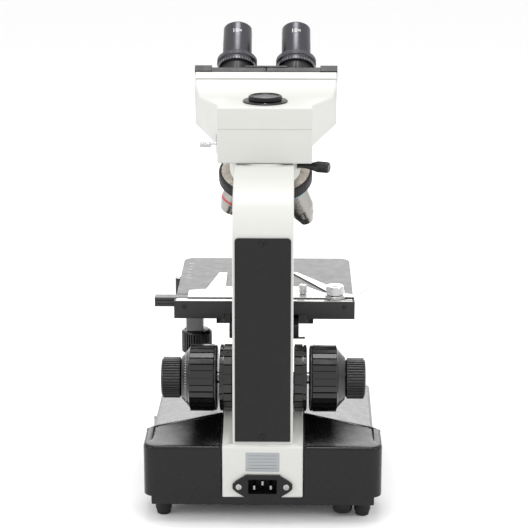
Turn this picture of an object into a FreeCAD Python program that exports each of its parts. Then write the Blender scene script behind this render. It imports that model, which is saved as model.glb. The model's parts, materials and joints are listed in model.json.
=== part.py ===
import FreeCAD, Part
import math
import os

# Compound trinocular microscope with an LED base. Millimetres.
# Z is up and zero where the feet stand. Y = 0, X = 0 is the optical axis.
# The user sits at -Y; the arm, its cover plate and the mains inlet are at +Y.

V = FreeCAD.Vector
AXIS_X = V(1, 0, 0)
AXIS_Y = V(0, 1, 0)
AXIS_Z = V(0, 0, 1)

# ---- driving dimensions -------------------------------------------------
BASE_WIDTH = 201.0            # across the rear wings of the base covers
BASE_REAR = 129.0             # rear face of the base
BASE_FRONT = -90.0            # front face of the base
BASE_WAIST_WIDTH = 189.0      # just ahead of the rear wings
BASE_FRONT_WIDTH = 197.0
WING_DEPTH = 46.0             # rear wings, front to back
FOOT_HEIGHT = 13.0
FOOT_RADIUS = 7.0
PAN_HEIGHT = 10.0             # bottom pan under the covers
PAN_INSET = 6.0
REAR_EDGE_Z = 68.0            # top of the base along its rear face
RIDGE_RISE = 14.0             # the base rises this much from its rear edge to the arm
FRONT_DROP = 22.0             # and falls this much from the wings to its front edge
SHELL = 3.0                   # wall of the moulded covers
SPINE_WIDTH = 68.0            # white middle of the base
ARM_WIDTH = 50.7
ARM_FRONT = 72.0              # front face of the upright arm
ARM_REAR_FOOT = 124.5         # rear face of the arm where it meets the base
ARM_REAR_LEAN = 14.5          # the rear face comes forward this much on its way up
ARM_WALL = 4.2
HEAD_SEAT_Z = 288.0           # flat top of the arm's nose, which carries the head
NOSE_RADIUS = 31.0

TILT = 20.0                   # nosepiece axis from the vertical, degrees
APEX_RISE = 29.4              # where the objective axes meet, above the head seat
SEAT_CIRCLE = 23.0            # radius of the objective seats round the turret axis
PARFOCAL = 45.0               # objective seat to specimen
SLIDE_THICKNESS = 1.2         # specimen slide with its cover glass
TURRET_RADIUS = 40.7

COARSE_UP = 33.0              # coarse focus travel above the rest height
COARSE_DOWN = 3.0
FINE_TRAVEL = 1.0             # fine focus, each way
Y_BACK = 24.0                 # stage travel towards the arm
Y_FORWARD = 6.0
X_TRAVEL = 35.0               # slide holder travel, each way

STAGE_WIDTH = 155.0
STAGE_REAR = 24.0
STAGE_FRONT = -95.0
STAGE_THICKNESS = 5.0

FOCUS_AXIS_Y = 82.0
FOCUS_AXIS_Z = 113.0
COARSE_RADIUS = 28.5
COARSE_INNER = 38.8           # inner face of each coarse knob, from the middle
COARSE_LENGTH = 24.4
KNOB_CONE = 6.4
FINE_RADIUS = 17.5
FINE_LENGTH = 17.0
RING_INNER = 26.0             # rings next to the arm
RING_WIDTH = 11.0

EYE_TILT = 45.0               # eyetubes above the horizontal, degrees
EYE_PLANE_Y = -55.75          # where the eyetube axes leave the front of the head
EYE_PLANE_Z_RISE = 60.75      # the same point above the head seat
IPD_REST = 53.0               # distance between the eyepieces, pushed together
IPD_TRAVEL = 11.0             # each plate slides out by this much
EYE_RING_RADIUS = 17.9
EYETUBE_BORE = 12.5
EYEPIECE_RADIUS = 13.1
EYEPIECE_INSERT = 11.6        # standard 23.2 mm eyepiece
EYEPIECE_HEIGHT = 34.3
DIOPTRE_TRAVEL = 2.0

GAP = 0.3                     # between pieces that move past each other
FIT = 0.05                    # running fit, on the radius

# ---- derived dimensions --------------------------------------------------
PAN_Z = FOOT_HEIGHT
COVER_Z = PAN_Z + PAN_HEIGHT
ARM_REAR_TOP = ARM_REAR_FOOT - ARM_REAR_LEAN
SHOULDER_Z = HEAD_SEAT_Z - 44.0
APEX = V(0, 0, HEAD_SEAT_Z + APEX_RISE)
TURRET_DOWN = V(0, -math.sin(math.radians(TILT)), -math.cos(math.radians(TILT)))
SEAT_DISTANCE = SEAT_CIRCLE / math.sin(math.radians(TILT))
SPECIMEN_Z = APEX.z - SEAT_DISTANCE - PARFOCAL
STAGE_TOP = SPECIMEN_Z - SLIDE_THICKNESS - COARSE_UP - FINE_TRAVEL
STAGE_UNDER = STAGE_TOP - STAGE_THICKNESS
STAGE_HALF = STAGE_WIDTH / 2
LIFT_TRAVEL = COARSE_UP + FINE_TRAVEL
DROP_TRAVEL = COARSE_DOWN + FINE_TRAVEL
HEAD_BOTTOM = HEAD_SEAT_Z + 0.5
EYE_PLANE_Z = HEAD_SEAT_Z + EYE_PLANE_Z_RISE


# ---- helpers --------------------------------------------------------------
def block(x0, x1, y0, y1, z0, z1):
    return Part.makeBox(x1 - x0, y1 - y0, z1 - z0, V(x0, y0, z0))


def rod(radius, start, axis, length):
    return Part.makeCylinder(radius, length, start, axis)


def tube(outer, inner, start, axis, length):
    return rod(outer, start, axis, length).cut(rod(inner, start, axis, length))


def cone(radius_start, radius_end, start, axis, length):
    return Part.makeCone(radius_start, radius_end, length, start, axis)


def prism(points, reach):
    """Closed polygon through 3-D points, pushed along the vector reach."""
    face = Part.Face(Part.makePolygon(points + [points[0]]))
    return face.extrude(reach)


def prism_x(points, x0, x1):
    return prism([V(x0, y, z) for y, z in points], V(x1 - x0, 0, 0))


def prism_y(points, y0, y1):
    return prism([V(x, y0, z) for x, z in points], V(0, y1 - y0, 0))


def prism_z(points, z0, z1):
    return prism([V(x, y, z0) for x, y in points], V(0, 0, z1 - z0))


def fuse(first, *others):
    return first.multiFuse(list(others)).removeSplitter()


def parallel_edges(shape, axis, keep):
    """Straight edges along an axis whose middle passes the test keep."""
    found = []
    for edge in shape.Edges:
        if edge.Curve.TypeId != "Part::GeomLine":
            continue
        if abs(abs(edge.tangentAt(edge.FirstParameter).dot(axis)) - 1) < 1e-6 and keep(edge.CenterOfMass):
            found.append(edge)
    return found


def mirror_x(shape):
    return shape.mirror(V(0, 0, 0), AXIS_X)


# ---- base -----------------------------------------------------------------
def arm_rear(z):
    """Rear face of the arm at a height."""
    share = (z - REAR_EDGE_Z) / (SHOULDER_Z - REAR_EDGE_Z)
    return ARM_REAR_FOOT - ARM_REAR_LEAN * share


WING_FRONT = BASE_REAR - WING_DEPTH
RIDGE_Z = REAR_EDGE_Z + RIDGE_RISE
SPINE_RIDGE_Z = RIDGE_Z + 1.5
SPINE_FRONT_Z = 62.0
SPINE_PROUD = 1.5
SPINE_WALL = 4.0
CAVITY_TOP = 58.0


def spine():
    profile = [
        (BASE_REAR, COVER_Z), (BASE_REAR, REAR_EDGE_Z), (BASE_REAR - 26, REAR_EDGE_Z + 5),
        (WING_FRONT, SPINE_RIDGE_Z), (FOCUS_AXIS_Y - 24, REAR_EDGE_Z + 5), (30, SPINE_FRONT_Z + 4),
        (BASE_FRONT - SPINE_PROUD, SPINE_FRONT_Z - 6), (BASE_FRONT - SPINE_PROUD, COVER_Z),
    ]
    return prism_x(profile, -SPINE_WIDTH / 2, SPINE_WIDTH / 2)


def arm_outline():
    """Side outline of the arm: straight rear, round shoulder, deep curve under the nose."""
    foot_z = REAR_EDGE_Z - 8
    corners = [
        V(0, arm_rear(foot_z), foot_z), V(0, arm_rear(SHOULDER_Z), SHOULDER_Z),
        V(0, 98, HEAD_SEAT_Z - 20), V(0, 66, HEAD_SEAT_Z - 4),
        V(0, 34, HEAD_SEAT_Z - 1), V(0, 0, HEAD_SEAT_Z - 1), V(0, 0, HEAD_SEAT_Z - 12),
        V(0, 34, HEAD_SEAT_Z - 26), V(0, 60, HEAD_SEAT_Z - 38), V(0, ARM_FRONT, HEAD_SEAT_Z - 66),
        V(0, ARM_FRONT, foot_z),
    ]
    edges = [
        Part.makeLine(corners[0], corners[1]),
        Part.Arc(corners[1], corners[2], corners[3]).toShape(),
        Part.makeLine(corners[3], corners[4]),
        Part.makeLine(corners[4], corners[5]),
        Part.makeLine(corners[5], corners[6]),
        Part.makeLine(corners[6], corners[7]),
        Part.Arc(corners[7], corners[8], corners[9]).toShape(),
        Part.makeLine(corners[9], corners[10]),
        Part.makeLine(corners[10], corners[0]),
    ]
    return Part.Face(Part.Wire(edges))


DOVETAIL_RADIUS = 14.8
DOVETAIL_DEPTH = 5.6
RECESS_RADIUS = DOVETAIL_RADIUS + GAP
LIGHT_BORE = 10.0
BASE_DISC_TOP = 38.3          # distances down the turret axis from the apex
TURRET_TOP = 41.5
RING_TOP = 47.5
RING_BOTTOM = 57.0
TURRET_FACE = 60.0
CLAMP_ANGLE = 160.0           # direction of the head clamp screw, degrees from +X
CLAMP_Z_DROP = 4.8
CLAMP_SHANK = 2.4
SHAFT_RADIUS = 5.0
SLIDE_HALF_NARROW = 11.0
SLIDE_HALF_WIDE = 14.2
SLIDE_FRONT = 60.0
SLIDE_REAR = 70.0
GUIDE_HALF = 22.0
GUIDE_BOTTOM = 84.0
RACK_REAR = 75.6
RACK_HALF = 5.0
PINION_RADIUS = FOCUS_AXIS_Y - RACK_REAR - 0.2
BRACKET_TOP = STAGE_UNDER - GAP - 10.0
BRACKET_BOTTOM = BRACKET_TOP - 13.7
SLIDE_TOP = BRACKET_TOP - 2.0
SLIDE_BOTTOM = FOCUS_AXIS_Z - LIFT_TRAVEL - 5.0
GUIDE_TOP = SLIDE_TOP - DROP_TRAVEL
POCKET_BOTTOM = SLIDE_BOTTOM - DROP_TRAVEL - 2.0


def down_turret(distance):
    return APEX + TURRET_DOWN * distance


def clamp_direction():
    angle = math.radians(CLAMP_ANGLE)
    return V(math.cos(angle), math.sin(angle), 0)


def slide_outline(grow):
    """Dovetail section of the focus slide, grown by a clearance."""
    narrow, wide = SLIDE_HALF_NARROW + grow, SLIDE_HALF_WIDE + grow
    front, rear = SLIDE_FRONT - 5 * grow, SLIDE_REAR + grow
    return [(-narrow, front), (narrow, front), (wide, rear), (-wide, rear)]


def inlet_opening():
    return block(-INLET_BODY_HALF - GAP, INLET_BODY_HALF + GAP, BASE_REAR - 12, BASE_REAR + 1,
                 INLET_Z - INLET_BODY_TALL - GAP, INLET_Z + INLET_BODY_TALL + GAP)


def stand_casting():
    half = ARM_WIDTH / 2
    web = arm_outline().extrude(V(ARM_WIDTH, 0, 0))
    web.translate(V(-half, 0, 0))
    nose = rod(NOSE_RADIUS, V(0, 0, HEAD_SEAT_Z - 36), AXIS_Z, 36)
    guides = block(-GUIDE_HALF, GUIDE_HALF, SLIDE_FRONT + 1, ARM_FRONT + 1, GUIDE_BOTTOM, GUIDE_TOP)
    lamp_boss = rod(SPINE_WIDTH / 2 - 1, V(0, 0, CAVITY_TOP - 2), AXIS_Z, HOUSING_SEAT - CAVITY_TOP + 2)
    body = spine().multiFuse([web, nose, guides, lamp_boss])
    under_nose = rod(4 * NOSE_RADIUS, down_turret(BASE_DISC_TOP), TURRET_DOWN, 90)
    keep_web = block(-half, half, NOSE_RADIUS + 3, BASE_REAR, 0, HEAD_SEAT_Z)
    body = body.cut(under_nose.cut(keep_web).cut(block(-200, 200, -200, 200, 0, HEAD_SEAT_Z - 50)))
    cavity = prism_x([
        (BASE_FRONT + SPINE_WALL, COVER_Z - 1), (BASE_FRONT + SPINE_WALL, SPINE_FRONT_Z - 12),
        (30, CAVITY_TOP), (BASE_REAR - 8, CAVITY_TOP), (BASE_REAR - 8, COVER_Z - 1),
    ], -SPINE_WIDTH / 2 + SPINE_WALL, SPINE_WIDTH / 2 - SPINE_WALL)
    inside = half - ARM_WALL
    hollow = prism_x([
        (ARM_FRONT + ARM_WALL, CAVITY_TOP - 1), (ARM_FRONT + ARM_WALL, SHOULDER_Z - 10),
        (ARM_REAR_TOP - ARM_WALL, SHOULDER_Z - 10), (ARM_REAR_FOOT - ARM_WALL, CAVITY_TOP - 1),
    ], -inside, inside)
    hatch = block(-inside + 3, inside - 3, ARM_REAR_TOP - 12, BASE_REAR + 5, RIDGE_Z, SHOULDER_Z - 14)
    cuts = [
        cavity, hollow, hatch, inlet_opening(),
        prism_z(slide_outline(FIT), POCKET_BOTTOM, SLIDE_TOP + 5),
        block(-SLIDE_HALF_WIDE - 2, SLIDE_HALF_WIDE + 2, SLIDE_FRONT - 2, SLIDE_REAR + GAP,
              POCKET_BOTTOM, GUIDE_BOTTOM - 0.5),
        block(-RACK_HALF - 1, RACK_HALF + 1, SLIDE_REAR - 1, ARM_FRONT + ARM_WALL + 1,
              POCKET_BOTTOM, SLIDE_TOP + LIFT_TRAVEL + 2),
        rod(SHAFT_RADIUS + FIT, V(-half - 10, FOCUS_AXIS_Y, FOCUS_AXIS_Z), AXIS_X, ARM_WIDTH + 20),
        rod(PINION_RADIUS + 1, V(-RACK_HALF - 1, FOCUS_AXIS_Y, FOCUS_AXIS_Z), AXIS_X, 2 * RACK_HALF + 2),
        rod(RECESS_RADIUS, V(0, 0, HEAD_BOTTOM - DOVETAIL_DEPTH - GAP), AXIS_Z, DOVETAIL_DEPTH + 1),
        rod(LIGHT_BORE, V(0, 0, HEAD_SEAT_Z - 40), AXIS_Z, 41),
        rod(CLAMP_SHANK + FIT, V(0, 0, HEAD_SEAT_Z - CLAMP_Z_DROP), clamp_direction(), NOSE_RADIUS + 5),
        rod(ILLUMINATOR_BORE, V(0, 0, CAVITY_TOP - 10), AXIS_Z, 30),
        rod(HOUSING_RADIUS + GAP, V(0, 0, HOUSING_SEAT), AXIS_Z, 10),
        rod(DIMMER_STEM + FIT, V(0, BASE_FRONT - 5, DIMMER_Z), AXIS_Y, 12),
    ]
    return body.cut(cuts).removeSplitter()


COVER_CORNER = 10.0
RAMP_LENGTH = WING_DEPTH - 5.0
RAMP_ROOT = 3.0               # how deep the ramp reaches into the wing
RAMP_SINK = 0.01


def cover_plan(inset):
    """Plan of the right-hand base cover, moved in by a wall."""
    wing = BASE_WIDTH / 2 - inset
    waist = BASE_WAIST_WIDTH / 2 - inset
    front = BASE_FRONT_WIDTH / 2 - inset
    inner = SPINE_WIDTH / 2 + inset
    return [
        (inner, BASE_REAR - inset), (wing, BASE_REAR - inset), (wing, WING_FRONT + inset),
        (waist, WING_FRONT - 6 + inset), (front, BASE_FRONT + inset), (inner, BASE_FRONT + inset),
    ]


def under_front_top(drop):
    """Everything below the tilted front top of a cover, which falls forwards and outwards."""
    inner = SPINE_WIDTH / 2 - 1
    outer = BASE_WIDTH / 2 + 1
    waist = BASE_WAIST_WIDTH / 2
    slope = RIDGE_RISE / (waist - SPINE_WIDTH / 2)
    high = REAR_EDGE_Z + slope * (waist - inner) - drop
    low = REAR_EDGE_Z + slope * (waist - outer) - drop
    length = WING_FRONT - BASE_FRONT
    section = [V(inner, WING_FRONT, -50), V(outer, WING_FRONT, -50),
               V(outer, WING_FRONT, low), V(inner, WING_FRONT, high)]
    return prism(section, V(0, -length, -FRONT_DROP))


def ramp_section(x, rise, base_z):
    """Section of the hollow sweep behind the ridge: upright front, concave top, flat bottom in the wing."""
    foot = V(x, WING_FRONT, base_z - RAMP_ROOT)
    crest = V(x, WING_FRONT, base_z + rise)
    belly = V(x, WING_FRONT + RAMP_LENGTH * 0.45, base_z + rise * 0.28)
    end = V(x, WING_FRONT + RAMP_LENGTH, base_z - RAMP_SINK)
    heel = V(x, WING_FRONT + RAMP_LENGTH, base_z - RAMP_ROOT)
    return Part.Wire([
        Part.makeLine(foot, crest), Part.Arc(crest, belly, end).toShape(),
        Part.makeLine(end, heel), Part.makeLine(heel, foot),
    ])


def cover_solid(inset):
    whole = prism_z(cover_plan(inset), COVER_Z - inset, RIDGE_Z + 10)
    front = whole.common(under_front_top(inset))
    wing = whole.common(block(0, BASE_WIDTH, WING_FRONT, BASE_REAR + 1, 0, REAR_EDGE_Z - inset))
    if inset == 0:
        corner = parallel_edges(wing, AXIS_Z, lambda p: p.x > BASE_WIDTH / 2 - 1 and p.y > BASE_REAR - 1)
        wing = wing.makeFillet(COVER_CORNER, corner)
    base_z = REAR_EDGE_Z - inset
    ramp = Part.makeLoft([ramp_section(SPINE_WIDTH / 2 + inset, RIDGE_RISE, base_z),
                          ramp_section(BASE_WAIST_WIDTH / 2 - inset, 0.2, base_z)], True, True)
    return fuse(front, wing, ramp)


def base_cover_right():
    shell = cover_solid(0).cut(cover_solid(SHELL))
    return shell.cut(switch_opening(FIT))


def base_cover_left():
    return mirror_x(cover_solid(0).cut(cover_solid(SHELL)))


def pan_plan(inset):
    rear = BASE_WIDTH / 2 - inset
    front = BASE_FRONT_WIDTH / 2 - inset
    waist = BASE_WAIST_WIDTH / 2 - inset
    half = [
        (rear, BASE_REAR - inset), (rear, WING_FRONT + inset), (waist, WING_FRONT - 6 + inset),
        (front, BASE_FRONT + inset),
    ]
    return half + [(-x, y) for x, y in reversed(half)]


PAN_FLOOR = 2.0
PAN_WALL = 2.5


def bottom_pan():
    outer = prism_z(pan_plan(PAN_INSET), PAN_Z, COVER_Z)
    inner = prism_z(pan_plan(PAN_INSET + PAN_WALL), PAN_Z + PAN_FLOOR, COVER_Z + 1)
    pan = outer.cut(inner)
    return pan.cut(rod(FUSE_BODY_RADIUS + FIT, V(FUSE_X, FUSE_Y, PAN_Z - 1), AXIS_Z, PAN_FLOOR + 2))


FEET_X = 85.0
FEET_REAR_Y = 109.0
FEET_FRONT_Y = -70.0


def rubber_feet():
    feet = []
    for x in (-FEET_X, FEET_X):
        for y in (FEET_FRONT_Y, FEET_REAR_Y):
            foot = cone(FOOT_RADIUS - 1.2, FOOT_RADIUS, V(x, y, 0), AXIS_Z, 4)
            feet.append(foot.fuse(rod(FOOT_RADIUS, V(x, y, 4), AXIS_Z, FOOT_HEIGHT - 4)).removeSplitter())
    return Part.makeCompound(feet)


INLET_Z = 33.2
INLET_HALF = 25.2
INLET_TALL = 10.2
INLET_TIP = 5.0
INLET_BODY_HALF = 13.8
INLET_BODY_TALL = 9.0
INLET_FLANGE = 2.5
INLET_SOCKET_HALF = 12.0
INLET_SOCKET_TALL = 6.4
INLET_SOCKET_DEPTH = 17.0
INLET_HOLE_SPACING = 40.0


def mains_inlet():
    flange = prism_y([
        (-14, INLET_Z + INLET_TALL), (14, INLET_Z + INLET_TALL), (INLET_HALF - 3, INLET_Z + INLET_TIP),
        (INLET_HALF, INLET_Z + 2), (INLET_HALF, INLET_Z - 2), (INLET_HALF - 3, INLET_Z - INLET_TIP),
        (14, INLET_Z - INLET_TALL), (-14, INLET_Z - INLET_TALL), (-INLET_HALF + 3, INLET_Z - INLET_TIP),
        (-INLET_HALF, INLET_Z - 2), (-INLET_HALF, INLET_Z + 2), (-INLET_HALF + 3, INLET_Z + INLET_TIP),
    ], BASE_REAR, BASE_REAR + INLET_FLANGE)
    body = block(-INLET_BODY_HALF, INLET_BODY_HALF, BASE_REAR - 24, BASE_REAR,
                 INLET_Z - INLET_BODY_TALL, INLET_Z + INLET_BODY_TALL)
    socket = block(-INLET_SOCKET_HALF, INLET_SOCKET_HALF, BASE_REAR + INLET_FLANGE - INLET_SOCKET_DEPTH,
                   BASE_REAR + INLET_FLANGE + 1, INLET_Z - INLET_SOCKET_TALL, INLET_Z + INLET_SOCKET_TALL)
    return fuse(flange, body).cut(socket)


FUSE_X = -68.0
FUSE_Y = 112.0
FUSE_BODY_RADIUS = 6.5
FUSE_CAP_RADIUS = 9.5


def fuse_holder():
    cap = cone(FUSE_CAP_RADIUS - 2, FUSE_CAP_RADIUS, V(FUSE_X, FUSE_Y, PAN_Z - 9), AXIS_Z, 9)
    return fuse(cap, rod(FUSE_BODY_RADIUS, V(FUSE_X, FUSE_Y, PAN_Z), AXIS_Z, 22))


COVER_PLATE_HALF = 23.2
COVER_PLATE_THICK = 1.5
COVER_PLATE_BOTTOM = REAR_EDGE_Z + 3.5


def arm_cover_plate():
    top = SHOULDER_Z
    low = COVER_PLATE_BOTTOM
    plate = prism_x([
        (arm_rear(low), low), (arm_rear(top), top),
        (arm_rear(top) + COVER_PLATE_THICK, top), (arm_rear(low) + COVER_PLATE_THICK, low),
    ], -COVER_PLATE_HALF, COVER_PLATE_HALF)
    corners = [e for e in plate.Edges if e.CenterOfMass.z > top - 0.01 and abs(e.CenterOfMass.x) > 1]
    return plate.makeFillet(3.0, corners)


def casing_screws():
    heads = []
    square_to_plate = V(0, SHOULDER_Z - REAR_EDGE_Z, ARM_REAR_LEAN).normalize()
    for z in (SHOULDER_Z - 4, COVER_PLATE_BOTTOM + 4):
        surface = V(0, arm_rear(z) + COVER_PLATE_THICK, z)
        heads.append(cone(2.6, 1.9, surface, square_to_plate, 1.3))
    for x in (-INLET_HOLE_SPACING / 2, INLET_HOLE_SPACING / 2):
        heads.append(cone(2.9, 2.2, V(x, BASE_REAR + INLET_FLANGE, INLET_Z), AXIS_Y, 1.6))
    return Part.makeCompound(heads)


SWITCH_Y = 32.0
SWITCH_Z = 50.0
SWITCH_HALF_LONG = 9.0
SWITCH_HALF_TALL = 5.5
SWITCH_REST_TILT = 8.0


def side_wall(y):
    """Outer face of the base cover at a distance from the optical axis."""
    share = (WING_FRONT - 6 - y) / (WING_FRONT - 6 - BASE_FRONT)
    return BASE_WAIST_WIDTH / 2 + (BASE_FRONT_WIDTH - BASE_WAIST_WIDTH) / 2 * share


def switch_opening(grow):
    return block(side_wall(SWITCH_Y) - 16, side_wall(SWITCH_Y) + 10,
                 SWITCH_Y - SWITCH_HALF_LONG - 0.6 - grow, SWITCH_Y + SWITCH_HALF_LONG + 0.6 + grow,
                 SWITCH_Z - SWITCH_HALF_TALL - GAP - grow, SWITCH_Z + SWITCH_HALF_TALL + GAP + grow)


def rocker_switch():
    wall = side_wall(SWITCH_Y)
    key = prism_z([
        (wall - 7, SWITCH_Y - SWITCH_HALF_LONG + 1.2), (wall + 2.6, SWITCH_Y - SWITCH_HALF_LONG),
        (wall + 1.2, SWITCH_Y), (wall + 2.6, SWITCH_Y + SWITCH_HALF_LONG),
        (wall - 7, SWITCH_Y + SWITCH_HALF_LONG - 1.2),
    ], SWITCH_Z - SWITCH_HALF_TALL, SWITCH_Z + SWITCH_HALF_TALL)
    key.rotate(V(wall - 3, SWITCH_Y, SWITCH_Z), AXIS_Z, SWITCH_REST_TILT)
    return key


DIMMER_Z = 40.0
DIMMER_RADIUS = 11.0
DIMMER_LENGTH = 12.0
DIMMER_STEM = 3.0


def dimmer_knob():
    start = V(0, BASE_FRONT - SPINE_PROUD - GAP, DIMMER_Z)
    knob = cone(DIMMER_RADIUS, DIMMER_RADIUS - 1, start, V(0, -1, 0), DIMMER_LENGTH)
    return fuse(knob, rod(DIMMER_STEM, start, AXIS_Y, 3 + GAP))


def power_supply_board():
    board = block(-26, 26, 50, 98, COVER_Z + 6, COVER_Z + 7.6)
    transformer = block(-22, -4, 60, 84, COVER_Z + 7.6, COVER_Z + 25)
    capacitor = block(6, 16, 58, 68, COVER_Z + 7.6, COVER_Z + 22)
    posts = [rod(2.5, V(x, y, PAN_Z + PAN_FLOOR), AXIS_Z, COVER_Z + 6 - PAN_Z - PAN_FLOOR)
             for x in (-22, 22) for y in (54, 94)]
    return fuse(board, transformer, capacitor, *posts)


ILLUMINATOR_BORE = 17.0
HOUSING_SEAT = CAVITY_TOP + 6.5
HOUSING_RADIUS = 31.0
HOUSING_TOP = HOUSING_SEAT + 22.0


def led_module():
    sink = rod(15, V(0, 0, PAN_Z + PAN_FLOOR), AXIS_Z, 20)
    return fuse(sink, rod(6, V(0, 0, PAN_Z + PAN_FLOOR + 20), AXIS_Z, 3))


def collector_housing():
    seat = rod(HOUSING_RADIUS, V(0, 0, HOUSING_SEAT), AXIS_Z, 10)
    neck = cone(27, 24, V(0, 0, HOUSING_SEAT + 10), AXIS_Z, HOUSING_TOP - HOUSING_SEAT - 10)
    stem = rod(ILLUMINATOR_BORE - FIT, V(0, 0, CAVITY_TOP - 12), AXIS_Z, HOUSING_SEAT - CAVITY_TOP + 12)
    bore = rod(13, V(0, 0, 0), AXIS_Z, 200)
    lens_seat = rod(FIELD_LENS_RADIUS + FIT, V(0, 0, HOUSING_TOP - 6), AXIS_Z, 10)
    return fuse(seat, neck, stem).cut([bore, lens_seat])


FIELD_LENS_RADIUS = 19.0


def field_lens():
    base = rod(FIELD_LENS_RADIUS, V(0, 0, HOUSING_TOP - 6), AXIS_Z, 3)
    ball_radius = 60.0
    dome = Part.makeSphere(ball_radius, V(0, 0, HOUSING_TOP - 0.4 - ball_radius))
    column = rod(FIELD_LENS_RADIUS, V(0, 0, HOUSING_TOP - 3), AXIS_Z, 10)
    return fuse(base, dome.common(column))


# ---- focus -----------------------------------------------------------------
FINE_SHAFT_RADIUS = 2.5
COARSE_OUTER = COARSE_INNER + COARSE_LENGTH
FINE_START = COARSE_OUTER + KNOB_CONE + GAP


def focus_point(x):
    return V(x, FOCUS_AXIS_Y, FOCUS_AXIS_Z)


def coarse_shaft():
    reach = COARSE_OUTER - 4
    shaft = rod(SHAFT_RADIUS, focus_point(-reach), AXIS_X, 2 * reach)
    pinion = rod(PINION_RADIUS, focus_point(-RACK_HALF), AXIS_X, 2 * RACK_HALF)
    bore = rod(FINE_SHAFT_RADIUS + FIT, focus_point(-reach - 1), AXIS_X, 2 * reach + 2)
    return fuse(shaft, pinion).cut(bore)


def coarse_knob_right():
    grip = rod(COARSE_RADIUS, focus_point(COARSE_INNER), AXIS_X, COARSE_LENGTH)
    nose = cone(COARSE_RADIUS - 1.5, FINE_RADIUS + 0.5, focus_point(COARSE_OUTER), AXIS_X, KNOB_CONE)
    shaft_bore = rod(SHAFT_RADIUS, focus_point(COARSE_INNER - 1), AXIS_X, COARSE_LENGTH - 3)
    fine_bore = rod(FINE_SHAFT_RADIUS + FIT, focus_point(COARSE_INNER), AXIS_X, COARSE_LENGTH + KNOB_CONE + 1)
    return fuse(grip, nose).cut([shaft_bore, fine_bore])


def coarse_knobs():
    right = coarse_knob_right()
    return Part.makeCompound([right, mirror_x(right)])


def fine_shaft():
    reach = FINE_START + 8
    return rod(FINE_SHAFT_RADIUS, focus_point(-reach), AXIS_X, 2 * reach)


def fine_knobs():
    grip = rod(FINE_RADIUS, focus_point(FINE_START), AXIS_X, FINE_LENGTH)
    right = grip.cut(rod(FINE_SHAFT_RADIUS, focus_point(FINE_START - 1), AXIS_X, 9))
    return Part.makeCompound([right, mirror_x(right)])


def shaft_ring():
    return tube(COARSE_RADIUS + 0.3, SHAFT_RADIUS + GAP, focus_point(RING_INNER), AXIS_X, RING_WIDTH)


def limit_ring():
    return shaft_ring()


def tension_ring():
    return mirror_x(shaft_ring())


def focus_rack():
    return block(-RACK_HALF, RACK_HALF, SLIDE_REAR + 0.1, RACK_REAR, SLIDE_BOTTOM, SLIDE_TOP)


def focus_slide():
    return prism_z(slide_outline(0), SLIDE_BOTTOM, SLIDE_TOP)


# ---- stage -----------------------------------------------------------------
BRACKET_HALF = 43.0
CONDENSER_BORE = 24.0
LOWER_PLATE_FRONT = -62.0
LOWER_PLATE_REAR = 16.0
RAIL_FRONT = 26.0
RAIL_REAR = 36.0
RAIL_HEIGHT = 8.2
RAIL_RIGHT = 61.0 + X_TRAVEL  # the rail stays over the drive shaft at both ends of its travel
RAIL_LEFT = -27.0 - X_TRAVEL
RAIL_TOP = STAGE_TOP + 0.15
BLOCK_HALF = 78.5
BLOCK_REAR = 45.0
BLOCK_BOTTOM = STAGE_TOP - 16.0
BLOCK_RELIEF = 4.0             # cut from the block's underside, where it passes over the condenser


def stage_bracket():
    plate = block(-BRACKET_HALF, BRACKET_HALF, -32, STAGE_REAR - Y_FORWARD, BRACKET_BOTTOM, BRACKET_TOP)
    neck = block(-30, 30, 10, SLIDE_FRONT, BRACKET_BOTTOM, BLOCK_BOTTOM - 1.0)
    cheek = block(-SLIDE_HALF_NARROW, SLIDE_HALF_NARROW, SLIDE_FRONT - 14, SLIDE_FRONT,
                  BRACKET_BOTTOM - 30, BRACKET_BOTTOM + 2)
    top = block(-52, 52, LOWER_PLATE_FRONT, LOWER_PLATE_REAR, BRACKET_TOP, STAGE_UNDER - GAP)
    bore = rod(CONDENSER_BORE, V(0, 0, BRACKET_BOTTOM - 1), AXIS_Z, 60)
    return fuse(plate, neck, cheek, top).cut(bore)


def slot_plan(radius, y0, y1):
    """Closed slot along Y with round ends."""
    edges = [
        Part.makeLine(V(radius, y0, 0), V(radius, y1, 0)),
        Part.Arc(V(radius, y1, 0), V(0, y1 + radius, 0), V(-radius, y1, 0)).toShape(),
        Part.makeLine(V(-radius, y1, 0), V(-radius, y0, 0)),
        Part.Arc(V(-radius, y0, 0), V(0, y0 - radius, 0), V(radius, y0, 0)).toShape(),
    ]
    return Part.Face(Part.Wire(edges))


STAGE_SLOT_RADIUS = 14.5
STAGE_CORNER = 10.0


def stage_top_plate():
    plate = block(-STAGE_HALF, STAGE_HALF, STAGE_FRONT, STAGE_REAR, STAGE_UNDER, STAGE_TOP)
    corners = parallel_edges(plate, AXIS_Z, lambda p: p.y < STAGE_FRONT + 1)
    plate = plate.makeFillet(STAGE_CORNER, corners)
    slot = slot_plan(STAGE_SLOT_RADIUS, -Y_BACK, Y_FORWARD).extrude(V(0, 0, 20))
    slot.translate(V(0, 0, STAGE_UNDER - 5))
    return plate.cut(slot)


def rear_guide_block():
    bar = block(-BLOCK_HALF, BLOCK_HALF, STAGE_REAR, BLOCK_REAR, BLOCK_BOTTOM, STAGE_TOP - 0.3)
    channel = block(-BLOCK_HALF - 1, BLOCK_HALF + 1, RAIL_FRONT - GAP, RAIL_REAR + GAP,
                    RAIL_TOP - RAIL_HEIGHT - GAP, STAGE_TOP + 5)
    relief = block(-BLOCK_HALF + 42, BLOCK_HALF - 44, STAGE_REAR - 1, BLOCK_REAR + 1,
                   BLOCK_BOTTOM - 1, BLOCK_BOTTOM + BLOCK_RELIEF)
    return bar.cut([channel, relief])


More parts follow.
